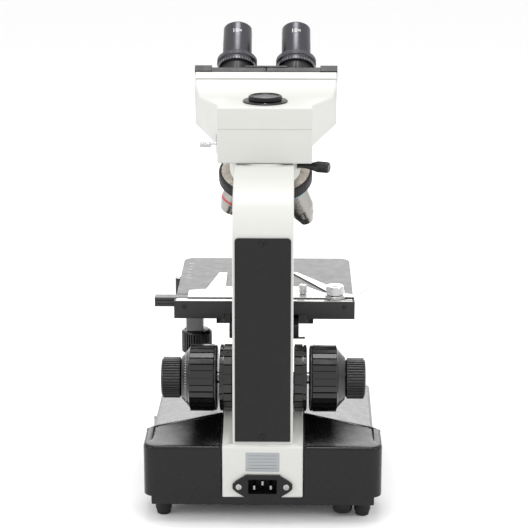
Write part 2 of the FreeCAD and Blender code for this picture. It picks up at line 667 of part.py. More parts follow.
def x_rail():
    bar = block(RAIL_LEFT, RAIL_RIGHT, RAIL_FRONT, RAIL_REAR, RAIL_TOP - RAIL_HEIGHT, RAIL_TOP)
    grooves = [
        block(RAIL_LEFT - 1, RAIL_RIGHT + 1, RAIL_REAR - 1.2, RAIL_REAR + 1, RAIL_TOP - z - 1.2, RAIL_TOP - z)
        for z in (2.0, 5.0)
    ]
    return bar.cut(grooves)


HOLDER_THICK = 1.0
HOLDER_TOP = RAIL_TOP + HOLDER_THICK
SLIDE_STOP_X = 35.0           # the specimen slide lies between this stop and the sprung finger
SLIDE_STOP_Y = 3.5
PIVOT_X = -61.5
PIVOT_Y = 31.0
PIVOT_PAD = 9.5
HUB_RADIUS = 7.8
PIVOT_PIN = 2.0
FINGER_THICK = 1.2
FINGER_LEVEL = HOLDER_TOP + 0.1


def specimen_holder():
    outline = [
        (67, RAIL_REAR), (67, 16), (52, 12), (SLIDE_STOP_X + 7.5, -41), (SLIDE_STOP_X + 0.4, -41),
        (SLIDE_STOP_X, SLIDE_STOP_Y), (-38, SLIDE_STOP_Y), (-44, 12), (-52, 21.5), (PIVOT_X, 21.5),
        (PIVOT_X, RAIL_REAR),
    ]
    plate = prism_z(outline, RAIL_TOP, HOLDER_TOP)
    pad = rod(PIVOT_PAD, V(PIVOT_X, PIVOT_Y, RAIL_TOP), AXIS_Z, HOLDER_THICK)
    pin = rod(PIVOT_PIN, V(PIVOT_X, PIVOT_Y, RAIL_TOP), AXIS_Z, 10.5)
    return fuse(plate, pad, pin)


THUMBSCREW_X = -33.6
THUMBSCREW_Y = 25.0


def holder_thumbscrew():
    return rod(3.4, V(THUMBSCREW_X, THUMBSCREW_Y, HOLDER_TOP), AXIS_Z, 8.5)


def spring_finger():
    hub = rod(HUB_RADIUS + 1, V(PIVOT_X, PIVOT_Y, FINGER_LEVEL), AXIS_Z, FINGER_THICK)
    top = FINGER_LEVEL + FINGER_THICK
    neck = prism_z([(-70, 30), (-56, 24), (-56, 17), (-70, 17)], FINGER_LEVEL, top)
    joggle = prism_z([(-70, 19.5), (-56, 19.5), (-56, 17), (-68, 17)], RAIL_TOP, top)
    arm = prism_z([(-68, 19.5), (-56, 19.5), (-48, 4), (-44, -4), (-26, -38), (-23, -43), (-28, -43),
                   (-50, -10), (-62, 8)], RAIL_TOP, HOLDER_TOP)
    tail = prism_z([(-66, 26), (-66, 36), (-78, 38), (-78, 31)], FINGER_LEVEL, top)
    bend = [V(-78, 31, FINGER_LEVEL), V(-78, 31, top), V(-92, 31, top + 9), V(-92, 31, FINGER_LEVEL + 9)]
    lever = prism(bend, V(0, 7, 0))
    bore = rod(PIVOT_PIN + FIT, V(PIVOT_X, PIVOT_Y, RAIL_TOP - 1), AXIS_Z, 20)
    return fuse(hub, neck, joggle, arm, tail, lever).cut(bore)


def finger_nut():
    base = V(PIVOT_X, PIVOT_Y, FINGER_LEVEL + FINGER_THICK + 0.1)
    return tube(HUB_RADIUS, PIVOT_PIN, base, AXIS_Z, 8.0)


KNOB_X = 61.0
KNOB_Y = 8.0
DRIVE_HOUSING_DROP = 32.0
Y_KNOB_RADIUS = 13.5
Y_KNOB_LENGTH = 21.0
X_KNOB_RADIUS = 11.0
X_KNOB_LENGTH = 19.0
DRIVE_SHAFT = 3.0
DRIVE_SLEEVE = 5.0


def knob_point(z):
    return V(KNOB_X, KNOB_Y, z)


HOUSING_LOW = STAGE_UNDER - DRIVE_HOUSING_DROP
Y_KNOB_TOP = HOUSING_LOW - GAP
X_KNOB_TOP = Y_KNOB_TOP - Y_KNOB_LENGTH - GAP


def drive_housing():
    upper = block(KNOB_X - 8, KNOB_X + 11, KNOB_Y - 12, KNOB_Y + 12, STAGE_UNDER - 12, STAGE_UNDER)
    lower = block(KNOB_X - 6, KNOB_X + 9, KNOB_Y - 9, KNOB_Y + 9, HOUSING_LOW, STAGE_UNDER - 12)
    return fuse(upper, lower).cut(rod(DRIVE_SLEEVE + FIT, knob_point(HOUSING_LOW - 1), AXIS_Z, 21))


def y_knob():
    sleeve = rod(DRIVE_SLEEVE, knob_point(Y_KNOB_TOP), AXIS_Z, 18)
    grip = rod(Y_KNOB_RADIUS, knob_point(Y_KNOB_TOP - Y_KNOB_LENGTH), AXIS_Z, Y_KNOB_LENGTH)
    bore = rod(DRIVE_SHAFT + FIT, knob_point(Y_KNOB_TOP - Y_KNOB_LENGTH - 1), AXIS_Z, 60)
    return fuse(sleeve, grip).cut(bore)


def x_knob():
    grip = rod(X_KNOB_RADIUS, knob_point(X_KNOB_TOP - X_KNOB_LENGTH), AXIS_Z, X_KNOB_LENGTH)
    return fuse(grip, rod(DRIVE_SHAFT, knob_point(X_KNOB_TOP - 1), AXIS_Z, Y_KNOB_LENGTH + 18))


POST_X = 79.5
POST_Y = -52.0
POST_RADIUS = 4.3


def side_post():
    return rod(POST_RADIUS, V(POST_X, POST_Y, STAGE_UNDER - 26), AXIS_Z, 26)


# ---- condenser ---------------------------------------------------------------
CONDENSER_RADIUS = 19.8
CONDENSER_TOP = STAGE_TOP - 2.2
CONDENSER_TRAVEL = 10.0
CONDENSER_BOTTOM = BRACKET_BOTTOM - 16.0 - CONDENSER_TRAVEL
LENS_CONE = CONDENSER_TOP - BLOCK_BOTTOM - BLOCK_RELIEF + GAP


def condenser_ring():
    low = BRACKET_BOTTOM - GAP - 11
    skirt = tube(27, CONDENSER_RADIUS + GAP, V(0, 0, low), AXIS_Z, 11)
    collar = tube(CONDENSER_BORE - 0.1, CONDENSER_RADIUS + GAP, V(0, 0, low), AXIS_Z, 20)
    return fuse(skirt, collar)


def condenser_body():
    shoulder = CONDENSER_TOP - LENS_CONE
    barrel = rod(CONDENSER_RADIUS, V(0, 0, CONDENSER_BOTTOM), AXIS_Z, shoulder - CONDENSER_BOTTOM)
    top = cone(CONDENSER_RADIUS - 4, STAGE_SLOT_RADIUS - 2.5, V(0, 0, shoulder), AXIS_Z, LENS_CONE)
    bore = rod(10, V(0, 0, CONDENSER_BOTTOM - 1), AXIS_Z, 100)
    side = CONDENSER_RADIUS + 2
    lever_slot = block(-side, 1.0, -side, side, IRIS_Z - 1.4, IRIS_Z + 1.4)
    hanger = block(12, 26, -5, 5, CONDENSER_BOTTOM, CONDENSER_BOTTOM + 6)
    body = fuse(barrel, top, hanger).cut([bore, lever_slot])
    return body.cut(rod(FILTER_PIN + FIT, V(FILTER_PIVOT, 0, CONDENSER_BOTTOM - 1), AXIS_Z, 10))


IRIS_Z = CONDENSER_BOTTOM + 9.0
IRIS_REACH = 36.0


def iris_lever():
    ring = tube(16.0, 11.0, V(0, 0, IRIS_Z - 1), AXIS_Z, 2.0)
    ring = ring.common(block(-30, 0.01, -30, 30, 0, HEAD_SEAT_Z))
    ring = ring.common(block(-30, -9, -3, 8, 0, HEAD_SEAT_Z))
    bar = block(-IRIS_REACH, -12, 3, 6, IRIS_Z - 1, IRIS_Z + 1)
    return fuse(ring, bar)


FILTER_PIVOT = 23.0
FILTER_PIN = 1.6


def filter_holder():
    low = CONDENSER_BOTTOM - 4.5
    ring = tube(18.5, 14.0, V(0, 0, low), AXIS_Z, 4.0)
    ledge = tube(15.0, 13.0, V(0, 0, low), AXIS_Z, 1.0)
    lug = block(16.5, 26, -4, 4, low, low + 4.0)
    pin = rod(FILTER_PIN, V(FILTER_PIVOT, 0, low), AXIS_Z, 9.5)
    tab = block(-24, -17, -4, 4, low, low + 2.5)
    return fuse(ring, ledge, lug, pin, tab)


# ---- nosepiece ----------------------------------------------------------------
DISC_RADIUS_TOP = 18.0
DISC_RADIUS_LOW = 25.5
PIVOT_STUD = 5.0
SEAT_BOSS = 13.0
DISH_RADIUS = 29.0
SEAT_BORE = 10.2


def radial_direction(angle):
    """Unit vector from the turret axis at an angle from the working place."""
    back = V(0, math.cos(math.radians(TILT)), -math.sin(math.radians(TILT)))
    return back * math.cos(math.radians(angle)) + AXIS_X * math.sin(math.radians(angle))


def objective_direction(angle):
    tilt = math.radians(TILT)
    return TURRET_DOWN * math.cos(tilt) + radial_direction(angle) * math.sin(tilt)


def nosepiece_base():
    disc = cone(DISC_RADIUS_TOP, DISC_RADIUS_LOW, down_turret(BASE_DISC_TOP), TURRET_DOWN,
                TURRET_TOP - GAP - BASE_DISC_TOP)
    stud = rod(PIVOT_STUD, down_turret(BASE_DISC_TOP + 1), TURRET_DOWN, 9)
    light = rod(8.0, V(0, 0, HEAD_SEAT_Z - 60), AXIS_Z, 60)
    return fuse(disc, stud).cut(light)


def nosepiece_turret():
    dome = cone(DISC_RADIUS_LOW + 0.5, TURRET_RADIUS - 1.5, down_turret(TURRET_TOP), TURRET_DOWN,
                RING_TOP - TURRET_TOP)
    ring = rod(TURRET_RADIUS, down_turret(RING_TOP), TURRET_DOWN, RING_BOTTOM - RING_TOP)
    dish = cone(TURRET_RADIUS - 2.2, DISH_RADIUS, down_turret(RING_BOTTOM), TURRET_DOWN,
                TURRET_FACE - RING_BOTTOM)
    places = [objective_direction(angle) for angle in (0, 90, 180, 270)]
    bosses = [rod(SEAT_BOSS, APEX + way * (SEAT_DISTANCE - 11), way, 11) for way in places]
    body = fuse(dome, ring, dish, *bosses)
    hollow = rod(TURRET_RADIUS - 7, down_turret(TURRET_TOP + 5), TURRET_DOWN, 8)
    bores = [rod(SEAT_BORE, APEX + way * 36, way, SEAT_DISTANCE - 35) for way in places]
    hub = rod(PIVOT_STUD + FIT, down_turret(TURRET_TOP - 5), TURRET_DOWN, 14)
    return body.cut([hollow, hub] + bores)


OBJECTIVES = {
    "4x": (90, [(12.2, 5.0), (11.6, 18.0), (9.5, 25.0), (8.5, 28.0)]),
    "10x": (0, [(12.2, 5.0), (11.6, 22.0), (9.0, 30.0), (6.0, 37.5)]),
    "40x": (270, [(12.2, 5.0), (11.6, 25.0), (9.5, 33.0), (6.0, 41.0)]),
    "100x": (180, [(12.2, 5.0), (11.6, 27.0), (9.5, 36.0), (4.5, 44.6)]),
}
THREAD_RADIUS = 10.1


def objective(name):
    """Stepped barrel: each step is a radius and the distance from the seat where it ends."""
    angle, steps = OBJECTIVES[name]
    down = objective_direction(angle)
    seat = APEX + down * SEAT_DISTANCE
    solids = [rod(THREAD_RADIUS, seat - down * 4.5, down, 5)]
    start = 0.0
    for index, (radius, end) in enumerate(steps):
        if index < 2:
            solids.append(rod(radius, seat + down * start, down, end - start))
        else:
            wide = steps[index - 1][0]
            solids.append(cone(wide, radius, seat + down * start, down, end - start))
        start = end
    bore = rod(steps[-1][0] - 2.2, seat - down * 6, down, start + 8)
    return fuse(*solids).cut(bore)


# ---- head ---------------------------------------------------------------------
HEAD_HALF = 41.0
HEAD_REAR = 29.0
HEAD_TOP = HEAD_SEAT_Z + 49.0
FLARE_START = 14.0
FLARE_END = -31.0
SLAB_HALF = 62.7
SLAB_TOP = 15.2               # along the sloping front, up from the eyetube axis
SLAB_LOW = -47.0
FRAME_THICK = 7.4
PLATE_THICK = 4.8
HEAD_WALL = 3.5
FLARE_LOW = HEAD_SEAT_Z + 12.0      # lower edge of the flare where it leaves the box
FLARE_HIGH = HEAD_SEAT_Z + 22.5     # and where it meets the slab
ROD_Y = 17.0
ROD_Z = HEAD_SEAT_Z + 15.4
ROD_RADIUS = 1.5
ROD_KNOB = 3.2
PORT_FLANGE = 19.5
PORT_BORE = 11.65
PORT_STUB = 13.0
CAP_RADIUS = 14.4


def front_point(along, out):
    """Point in the plane of symmetry: along the sloping front, and out along the eyetubes."""
    lean = math.radians(EYE_TILT)
    y = EYE_PLANE_Y + along * math.cos(lean) - out * math.sin(lean)
    z = EYE_PLANE_Z + along * math.sin(lean) + out * math.cos(lean)
    return y, z


def place_on_front(shape):
    """Moves a shape drawn in X, along, out to its place on the sloping front."""
    moved = shape.copy()
    moved.rotate(V(0, 0, 0), AXIS_X, EYE_TILT)
    moved.translate(V(0, EYE_PLANE_Y, EYE_PLANE_Z))
    return moved


def head_side(wall):
    top_y, top_z = front_point(SLAB_TOP - wall, -PLATE_THICK - FRAME_THICK - wall)
    low_y, low_z = front_point(SLAB_LOW + wall, -PLATE_THICK - FRAME_THICK - wall)
    belly = HEAD_BOTTOM + 4 + wall
    roof = HEAD_TOP - wall
    return [
        (HEAD_REAR - wall, HEAD_BOTTOM + wall), (HEAD_REAR - wall, roof), (top_y + top_z - roof, roof),
        (top_y, top_z), (low_y, low_z), (low_y + low_z - belly, belly),
        (low_y + low_z - belly + 6, HEAD_BOTTOM + wall),
    ]


def head_plan(wall):
    half = [(HEAD_HALF - wall, HEAD_REAR + 1), (HEAD_HALF - wall, FLARE_START), (SLAB_HALF - wall, FLARE_END),
            (SLAB_HALF - wall, -150)]
    return half + [(-x, y) for x, y in reversed(half)]


def head_front(wall):
    half = [(HEAD_HALF - wall, HEAD_BOTTOM - 1), (HEAD_HALF - wall, FLARE_LOW + wall / 2),
            (SLAB_HALF - wall, FLARE_HIGH + wall / 2), (SLAB_HALF - wall, HEAD_TOP + 100)]
    return half + [(-x, z) for x, z in reversed(half)]


def head_solid(wall):
    side = prism_x(head_side(wall), -100, 100)
    plan = prism_z(head_plan(wall), HEAD_SEAT_Z - 10, HEAD_TOP + 100)
    front = prism_y(head_front(wall), -200, 100)
    return side.common(plan).common(front)


def head_body():
    body = head_solid(0).cut(head_solid(HEAD_WALL))
    dovetail = cone(DOVETAIL_RADIUS, DOVETAIL_RADIUS - 1.2, V(0, 0, HEAD_BOTTOM), V(0, 0, -1), DOVETAIL_DEPTH)
    frame_back = -PLATE_THICK - FRAME_THICK
    window = place_on_front(block(-48, 48, -13, 11.5, frame_back - 6, frame_back + 1))
    cuts = [
        rod(LIGHT_BORE + 0.5, V(0, 0, HEAD_BOTTOM - 10), AXIS_Z, 16),
        rod(PORT_STUB, V(0, 0, HEAD_TOP - 6), AXIS_Z, 8),
        rod(ROD_RADIUS + FIT, V(HEAD_HALF - 8, ROD_Y, ROD_Z), AXIS_X, 12),
        window,
    ]
    return fuse(body, dovetail).cut(cuts)


def slider_frame():
    frame = block(-SLAB_HALF, SLAB_HALF, SLAB_LOW, SLAB_TOP, -PLATE_THICK - FRAME_THICK, -PLATE_THICK)
    for side in (-1, 1):
        near = side * IPD_REST / 2
        far = side * (IPD_REST / 2 + IPD_TRAVEL)
        radius = EYETUBE_BORE + 1.0
        for x in (near, far):
            frame = frame.cut(rod(radius, V(x, 0, -40), AXIS_Z, 60))
        frame = frame.cut(block(min(near, far), max(near, far), -radius, radius, -40, 20))
    front = prism_y(head_front(0), -200, 100)
    return place_on_front(frame).common(front)


EYE_BASE_RADIUS = 14.5
EYE_BASE_HEIGHT = 11.5
GRIP_LENGTH = 15.0


def eyetube_right():
    plate = block(0.2, SLAB_HALF, SLAB_LOW + 1, SLAB_TOP, -PLATE_THICK, 0)
    grip = block(SLAB_HALF - GRIP_LENGTH + 0.5, SLAB_HALF + 0.5, SLAB_LOW + 1, SLAB_TOP + 0.8,
                 -PLATE_THICK, 1.7)
    centre = V(IPD_REST / 2, 0, 0)
    socket = rod(EYE_BASE_RADIUS, centre, AXIS_Z, EYE_BASE_HEIGHT)
    bore = rod(EYETUBE_BORE, V(IPD_REST / 2, 0, -20), AXIS_Z, 60)
    return place_on_front(fuse(plate, grip, socket).cut(bore))


def eyetube_left():
    return mirror_x(eyetube_right())


RING_LOW = 9.0
RING_HIGH = 18.3
RING_STEP = 14.0
SLEEVE_RADIUS = EYETUBE_BORE - FIT
SLEEVE_TOP = RING_HIGH + 0.2


def dioptre_ring_right():
    centre = V(IPD_REST / 2, 0, 0)
    ring = rod(EYE_RING_RADIUS, centre + V(0, 0, RING_LOW), AXIS_Z, RING_HIGH - RING_LOW)
    skirt = rod(EYE_BASE_RADIUS + GAP, centre + V(0, 0, RING_LOW - 1), AXIS_Z, RING_STEP - RING_LOW + 1)
    throat = rod(SLEEVE_RADIUS + FIT, centre + V(0, 0, RING_LOW - 1), AXIS_Z, 30)
    return place_on_front(ring.cut([skirt, throat]))


def dioptre_ring_left():
    return mirror_x(dioptre_ring_right())


def sleeve_right():
    start = V(IPD_REST / 2, 0, -PLATE_THICK + DIOPTRE_TRAVEL)
    return place_on_front(tube(SLEEVE_RADIUS, EYEPIECE_INSERT + FIT, start, AXIS_Z, SLEEVE_TOP - start.z))


def sleeve_left():
    return mirror_x(sleeve_right())


def eyepiece_right():
    centre = V(IPD_REST / 2, 0, 0)
    barrel = rod(EYEPIECE_RADIUS, centre + V(0, 0, SLEEVE_TOP), AXIS_Z, EYEPIECE_HEIGHT)
    insert = rod(EYEPIECE_INSERT, centre, AXIS_Z, SLEEVE_TOP + 1)
    eye_cup = cone(8, 11.5, centre + V(0, 0, SLEEVE_TOP + EYEPIECE_HEIGHT - 4), AXIS_Z, 5)
    lens_bore = rod(9, centre + V(0, 0, -1), AXIS_Z, SLEEVE_TOP + EYEPIECE_HEIGHT - 12)
    return place_on_front(fuse(barrel, insert).cut([eye_cup, lens_bore]))


def eyepiece_left():
    return mirror_x(eyepiece_right())


def photo_port():
    flange = rod(PORT_FLANGE, V(0, 0, HEAD_TOP), AXIS_Z, 1.4)
    stub = rod(PORT_STUB - FIT, V(0, 0, HEAD_TOP - 5), AXIS_Z, 8.5)
    return fuse(flange, stub).cut(rod(PORT_BORE, V(0, 0, HEAD_TOP - 10), AXIS_Z, 30))


def port_cap():
    low = HEAD_TOP + 1.5
    cup = rod(CAP_RADIUS, V(0, 0, low), AXIS_Z, 4.0)
    cup = cup.cut(rod(PORT_STUB + 0.2, V(0, 0, low - 1), AXIS_Z, 3.1))
    return cup.cut(cone(CAP_RADIUS - 2.4, CAP_RADIUS - 1.8, V(0, 0, low + 3.2), AXIS_Z, 1))


def pull_rod():
    knob = rod(ROD_KNOB, V(HEAD_HALF + 5.5, ROD_Y, ROD_Z), AXIS_X, 9.8)
    shaft = rod(ROD_RADIUS, V(2, ROD_Y, ROD_Z), AXIS_X, HEAD_HALF + 5)
    carriage = block(-9, 9, -9, 9, HEAD_BOTTOM + 6.5, HEAD_BOTTOM + 22.5)
    lug = block(-4, 4, 8, ROD_Y + 3, ROD_Z - 4, ROD_Z + 4)
    return fuse(knob, shaft, carriage, lug)


PRISM_HALF = 9.0
PRISM_DEPTH = 42.0            # behind the front plane, on the eyetube axis


def deflecting_prism():
    cube = block(-PRISM_HALF, PRISM_HALF, -PRISM_HALF, PRISM_HALF,
                 -PRISM_DEPTH - PRISM_HALF, -PRISM_DEPTH + PRISM_HALF)
    return place_on_front(cube)


def head_clamp_screw():
    way = clamp_direction()
    middle = V(0, 0, HEAD_SEAT_Z - CLAMP_Z_DROP)
    shank = rod(CLAMP_SHANK, middle + way * (RECESS_RADIUS + 0.2), way, 20.5)
    neck = cone(2.9, 4.2, middle + way * 41, way, 6)
    knob = rod(4.75, middle + way * 47, way, 12.5)
    return fuse(shank, neck, knob)


NODES = [
    stand_casting, base_cover_right, base_cover_left, bottom_pan, rubber_feet, mains_inlet, fuse_holder,
    arm_cover_plate, casing_screws, rocker_switch, dimmer_knob, power_supply_board, led_module,
    collector_housing, field_lens, coarse_shaft, coarse_knobs, fine_shaft, fine_knobs, limit_ring,
    tension_ring, focus_rack, focus_slide, stage_bracket, stage_top_plate, rear_guide_block, x_rail,
    specimen_holder, holder_thumbscrew, spring_finger, finger_nut, drive_housing, y_knob, x_knob,
    side_post, condenser_ring, condenser_body, iris_lever, filter_holder, nosepiece_base,
    nosepiece_turret, head_body, slider_frame, eyetube_right, eyetube_left, dioptre_ring_right,
    dioptre_ring_left, sleeve_right, sleeve_left, eyepiece_right, eyepiece_left, photo_port, port_cap,
    pull_rod, deflecting_prism, head_clamp_screw,
]

os.makedirs("parts", exist_ok=True)
for make in NODES:
    make().exportStep("parts/" + make.__name__ + ".step")
for power in OBJECTIVES:
    objective(power).exportStep("parts/objective_" + power + ".step")
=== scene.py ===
import json
import logging
import math
from collections.abc import Callable, Sequence
from dataclasses import dataclass
from enum import Enum

import bmesh
import bpy
from mathutils import Matrix, Vector


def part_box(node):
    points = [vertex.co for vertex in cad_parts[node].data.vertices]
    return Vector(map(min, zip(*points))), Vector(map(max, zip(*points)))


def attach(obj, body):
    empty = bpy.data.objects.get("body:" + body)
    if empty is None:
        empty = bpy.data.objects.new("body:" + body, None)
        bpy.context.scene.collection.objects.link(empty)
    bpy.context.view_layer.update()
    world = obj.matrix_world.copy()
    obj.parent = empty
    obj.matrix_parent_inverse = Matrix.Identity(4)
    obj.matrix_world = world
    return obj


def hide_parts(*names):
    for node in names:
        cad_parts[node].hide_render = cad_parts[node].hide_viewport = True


# Looks of a compound trinocular microscope. Sizes here are millimetres, and
# every mesh is turned into metres as it is made. Z is up, Y = 0 and X = 0 is
# the optical axis, and the arm with its mains inlet is at +Y.

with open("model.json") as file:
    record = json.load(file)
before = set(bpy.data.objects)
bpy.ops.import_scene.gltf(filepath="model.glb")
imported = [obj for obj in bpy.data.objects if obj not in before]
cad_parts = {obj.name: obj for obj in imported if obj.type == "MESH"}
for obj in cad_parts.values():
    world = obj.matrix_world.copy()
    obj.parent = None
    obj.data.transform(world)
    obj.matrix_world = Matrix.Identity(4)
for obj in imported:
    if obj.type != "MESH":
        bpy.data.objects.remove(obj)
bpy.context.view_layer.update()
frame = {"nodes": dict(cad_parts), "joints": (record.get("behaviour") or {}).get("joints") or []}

MM = 0.001
LOG = logging.getLogger("microscope")
WELD = 1e-6                     # metres; closes the seams between a CAD node's loose triangles
FLAT = math.radians(0.7)        # faces nearer than this to one plane become one face
CREASE = math.radians(38)       # sharper edges than this stay sharp when shaded
LEAST_TURN = math.radians(28)   # edges that turn less than this are not rounded
Profile = Sequence[tuple[float, float]]


# ---- frame -----------------------------------------------------------------
def low(node: str) -> Vector:
    """Lowest corner of a CAD node, in millimetres."""
    return Vector(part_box(node)[0]) / MM


def high(node: str) -> Vector:
    """Highest corner of a CAD node, in millimetres."""
    return Vector(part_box(node)[1]) / MM


def joint(name: str) -> dict:
    """The record's entry for one joint."""
    return next(entry for entry in frame["joints"] if entry["name"] == name)


def joint_point(name: str) -> Vector:
    """A point on a hinge's axis, in millimetres."""
    return Vector(joint(name)["pos_m"]) / MM


def joint_axis(name: str) -> Vector:
    """Unit vector along a joint's axis."""
    return Vector(joint(name)["axis"]).normalized()


def facing(point: Vector, axis: Vector, across: Vector = Vector((1, 0, 0))) -> Matrix:
    """Placement whose Z runs along an axis.

    Args:
        point: the origin, in millimetres.
        axis: the direction of local Z.
        across: a direction that local X stays as close to as it can.

    Returns:
        A 4 by 4 matrix in millimetres.
    """
    z = axis.normalized()
    if abs(z.dot(across)) > 0.95:
        across = Vector((0, 1, 0))
    y = z.cross(across).normalized()
    x = y.cross(z)
    turn = Matrix((x, y, z)).transposed().to_4x4()
    return Matrix.Translation(point) @ turn


# ---- finishes ----------------------------------------------------------------
def linear(code: str) -> tuple[float, float, float, float]:
    """Turns an sRGB hex colour into linear values.

    Args:
        code: six hex digits after a hash sign.

    Returns:
        Linear red, green and blue, and an alpha of one.
    """
    values = [int(code[i:i + 2], 16) / 255 for i in (1, 3, 5)]
    values = [v / 12.92 if v <= 0.04045 else ((v + 0.055) / 1.055) ** 2.4 for v in values]
    return (*values, 1.0)


def add(tree: bpy.types.NodeTree, kind: str, settings: dict | None = None,
        inputs: dict | None = None) -> bpy.types.Node:
    """Adds a node with its settings and its links.

    Args:
        tree: the node tree that gets it.
        kind: the node's type name.
        settings: node properties by name.
        inputs: a value, or a socket to link from, for each input name or number.

    Returns:
        The new node.
    """
    node = tree.nodes.new(kind)
    for name, value in (settings or {}).items():
        setattr(node, name, value)
    for name, value in (inputs or {}).items():
        if isinstance(value, bpy.types.NodeSocket):
            tree.links.new(value, node.inputs[name])
        else:
            node.inputs[name].default_value = value
    return node


class Grain(Enum):
    """How a surface was made, which decides its pattern."""

    SPRAYED = "sprayed"      # paint: soft orange peel
    CRINKLED = "crinkled"    # texture paint: small hard bumps
    MOULDED = "moulded"      # plastic out of a spark-eroded mould
    TURNED = "turned"        # lathe marks round an axis
    BRUSHED = "brushed"      # long scratches one way
    BLASTED = "blasted"      # bead blasted, then anodised
    POLISHED = "polished"    # glass


@dataclass(frozen=True)
class Finish:
    """One real material and the way its surface was made.

    Args:
        name: the material's name.
        colour: sRGB hex.
        grain: how the surface was made.
        pitch_mm: real distance between neighbouring marks.
        depth_mm: real depth of the marks.
        roughness: at the middle of its range.
        metallic: 1 for bare metal.
        ior: 1.5 for paint and plastic; metals keep the default.
        coat: clear layer on top.
        shine: specular level; satin mould textures and matting agents lower it.
        spread: how far the colour wanders, as a share.
        axis: along a lathe's axis, or across a brushed surface's scratches.
        clear: transmission, for glass.
    """

    name: str
    colour: str
    grain: Grain
    pitch_mm: float
    depth_mm: float
    roughness: float
    metallic: float = 0.0
    ior: float = 1.5
    coat: float = 0.0
    shine: float = 0.5
    spread: float = 0.06
    axis: tuple[float, float, float] = (0.0, 0.0, 1.0)
    clear: float = 0.0

    def turned_about(self, axis: Vector) -> "Finish":
        """The same finish with its marks round another axis."""
        values = {name: getattr(self, name) for name in self.__dataclass_fields__}
        label = "_".join(f"{round(100 * v)}" for v in axis)
        return Finish(**{**values, "name": f"{self.name} {label}", "axis": tuple(axis)})

    def material(self) -> bpy.types.Material:
        """The finish as a material, made once.

        Returns:
            The material, with procedural colour, roughness and bump.
        """
        known = bpy.data.materials.get(self.name)
        if known:
            return known
        made = bpy.data.materials.new(self.name)
        made.use_nodes = True
        tree = made.node_tree
        tree.nodes.clear()
        where = add(tree, "ShaderNodeTexCoord").outputs["Object"]
        marks = self.marks(tree, where)
        cloud = add(tree, "ShaderNodeTexNoise", inputs={
            "Vector": where, "Scale": 1 / (45 * MM), "Detail": 3.0, "Roughness": 0.6}).outputs["Fac"]
        rub = add(tree, "ShaderNodeTexNoise", inputs={
            "Vector": where, "Scale": 1 / (9 * MM), "Detail": 5.0, "Roughness": 0.65}).outputs["Fac"]
        base = linear(self.colour)
        deep = tuple(v * (1 - 2.2 * self.spread) for v in base[:3]) + (1.0,)
        pale = tuple(min(1.0, v * (1 + self.spread) + 0.01 * self.spread) for v in base[:3]) + (1.0,)
        tone = add(tree, "ShaderNodeMix", {"data_type": "RGBA"}, {0: cloud, 6: deep, 7: pale})
        speck = add(tree, "ShaderNodeMix", {"data_type": "RGBA", "blend_type": "MULTIPLY"}, {
            0: self.spread * 1.5, 6: tone.outputs[2], 7: marks})
        rough = add(tree, "ShaderNodeMapRange", inputs={
            "Value": rub, "From Min": 0.3, "From Max": 0.7,
            "To Min": max(0.02, self.roughness - 0.05), "To Max": min(1.0, self.roughness + 0.05)})
        bump = add(tree, "ShaderNodeBump", inputs={
            "Height": marks, "Distance": self.depth_mm * MM, "Strength": 0.6})
        shader = add(tree, "ShaderNodeBsdfPrincipled", inputs={
            "Base Color": speck.outputs[2], "Roughness": rough.outputs[0], "Normal": bump.outputs[0],
            "Metallic": self.metallic, "Transmission Weight": self.clear})
        if not self.metallic:
            shader.inputs["IOR"].default_value = self.ior
            shader.inputs["Specular IOR Level"].default_value = self.shine
        shader.inputs["Coat Weight"].default_value = self.coat
        shader.inputs["Coat Roughness"].default_value = 0.12
        add(tree, "ShaderNodeOutputMaterial", inputs={"Surface": shader.outputs[0]})
        return made

    def marks(self, tree: bpy.types.NodeTree, where: bpy.types.NodeSocket) -> bpy.types.NodeSocket:
        """Height pattern of the surface.

        Args:
            tree: the material's tree.
            where: object coordinates.

        Returns:
            The pattern's value, from 0 to 1.
        """
        scale = 1 / (self.pitch_mm * MM)
        if self.grain is Grain.TURNED:
            along = add(tree, "ShaderNodeVectorMath", {"operation": "DOT_PRODUCT"}, {
                0: where, 1: Vector(self.axis)})
            return add(tree, "ShaderNodeTexNoise", {"noise_dimensions": "1D"}, {
                "W": along.outputs["Value"], "Scale": scale, "Detail": 2.0}).outputs["Fac"]
        if self.grain is Grain.BRUSHED:
            across = Vector(self.axis).normalized()
            squeeze = Vector([0.02 + 0.98 * abs(v) for v in across])
            stretched = add(tree, "ShaderNodeMapping", inputs={"Vector": where, "Scale": squeeze})
            return add(tree, "ShaderNodeTexNoise", inputs={
                "Vector": stretched.outputs[0], "Scale": scale, "Detail": 3.0}).outputs["Fac"]
        if self.grain is Grain.CRINKLED:
            cells = add(tree, "ShaderNodeTexVoronoi", {"feature": "SMOOTH_F1"}, {
                "Vector": where, "Scale": scale, "Smoothness": 0.6})
            return cells.outputs["Distance"]
        detail = {Grain.SPRAYED: 1.0, Grain.MOULDED: 4.0, Grain.BLASTED: 6.0}.get(self.grain, 0.0)
        return add(tree, "ShaderNodeTexNoise", inputs={
            "Vector": where, "Scale": scale, "Detail": detail, "Roughness": 0.55}).outputs["Fac"]


# Baked enamel on cast aluminium: warm white with a shallow orange peel and a soft gloss.
ENAMEL = Finish("White baked enamel", "#CDCDC9", Grain.SPRAYED, 1.6, 0.02, 0.38, coat=0.15, spread=0.012)
# The same enamel down in a joint between two castings, where little light comes.
JOINT_SHADE = Finish("Enamel in a joint", "#9B9B97", Grain.SPRAYED, 1.6, 0.02, 0.6, spread=0.012)
# Injection-moulded ABS out of a finely etched mould: black, satin, goes grey where it mirrors the room.
SATIN_ABS = Finish("Satin black ABS", "#0B0B0C", Grain.MOULDED, 0.7, 0.004, 0.26, shine=0.34, spread=0.05)
# Polished-mould ABS of the hand knobs: deep black with hard highlights.
GLOSS_ABS = Finish("Gloss black ABS", "#080809", Grain.MOULDED, 1.1, 0.004, 0.2, shine=0.6, spread=0.05)
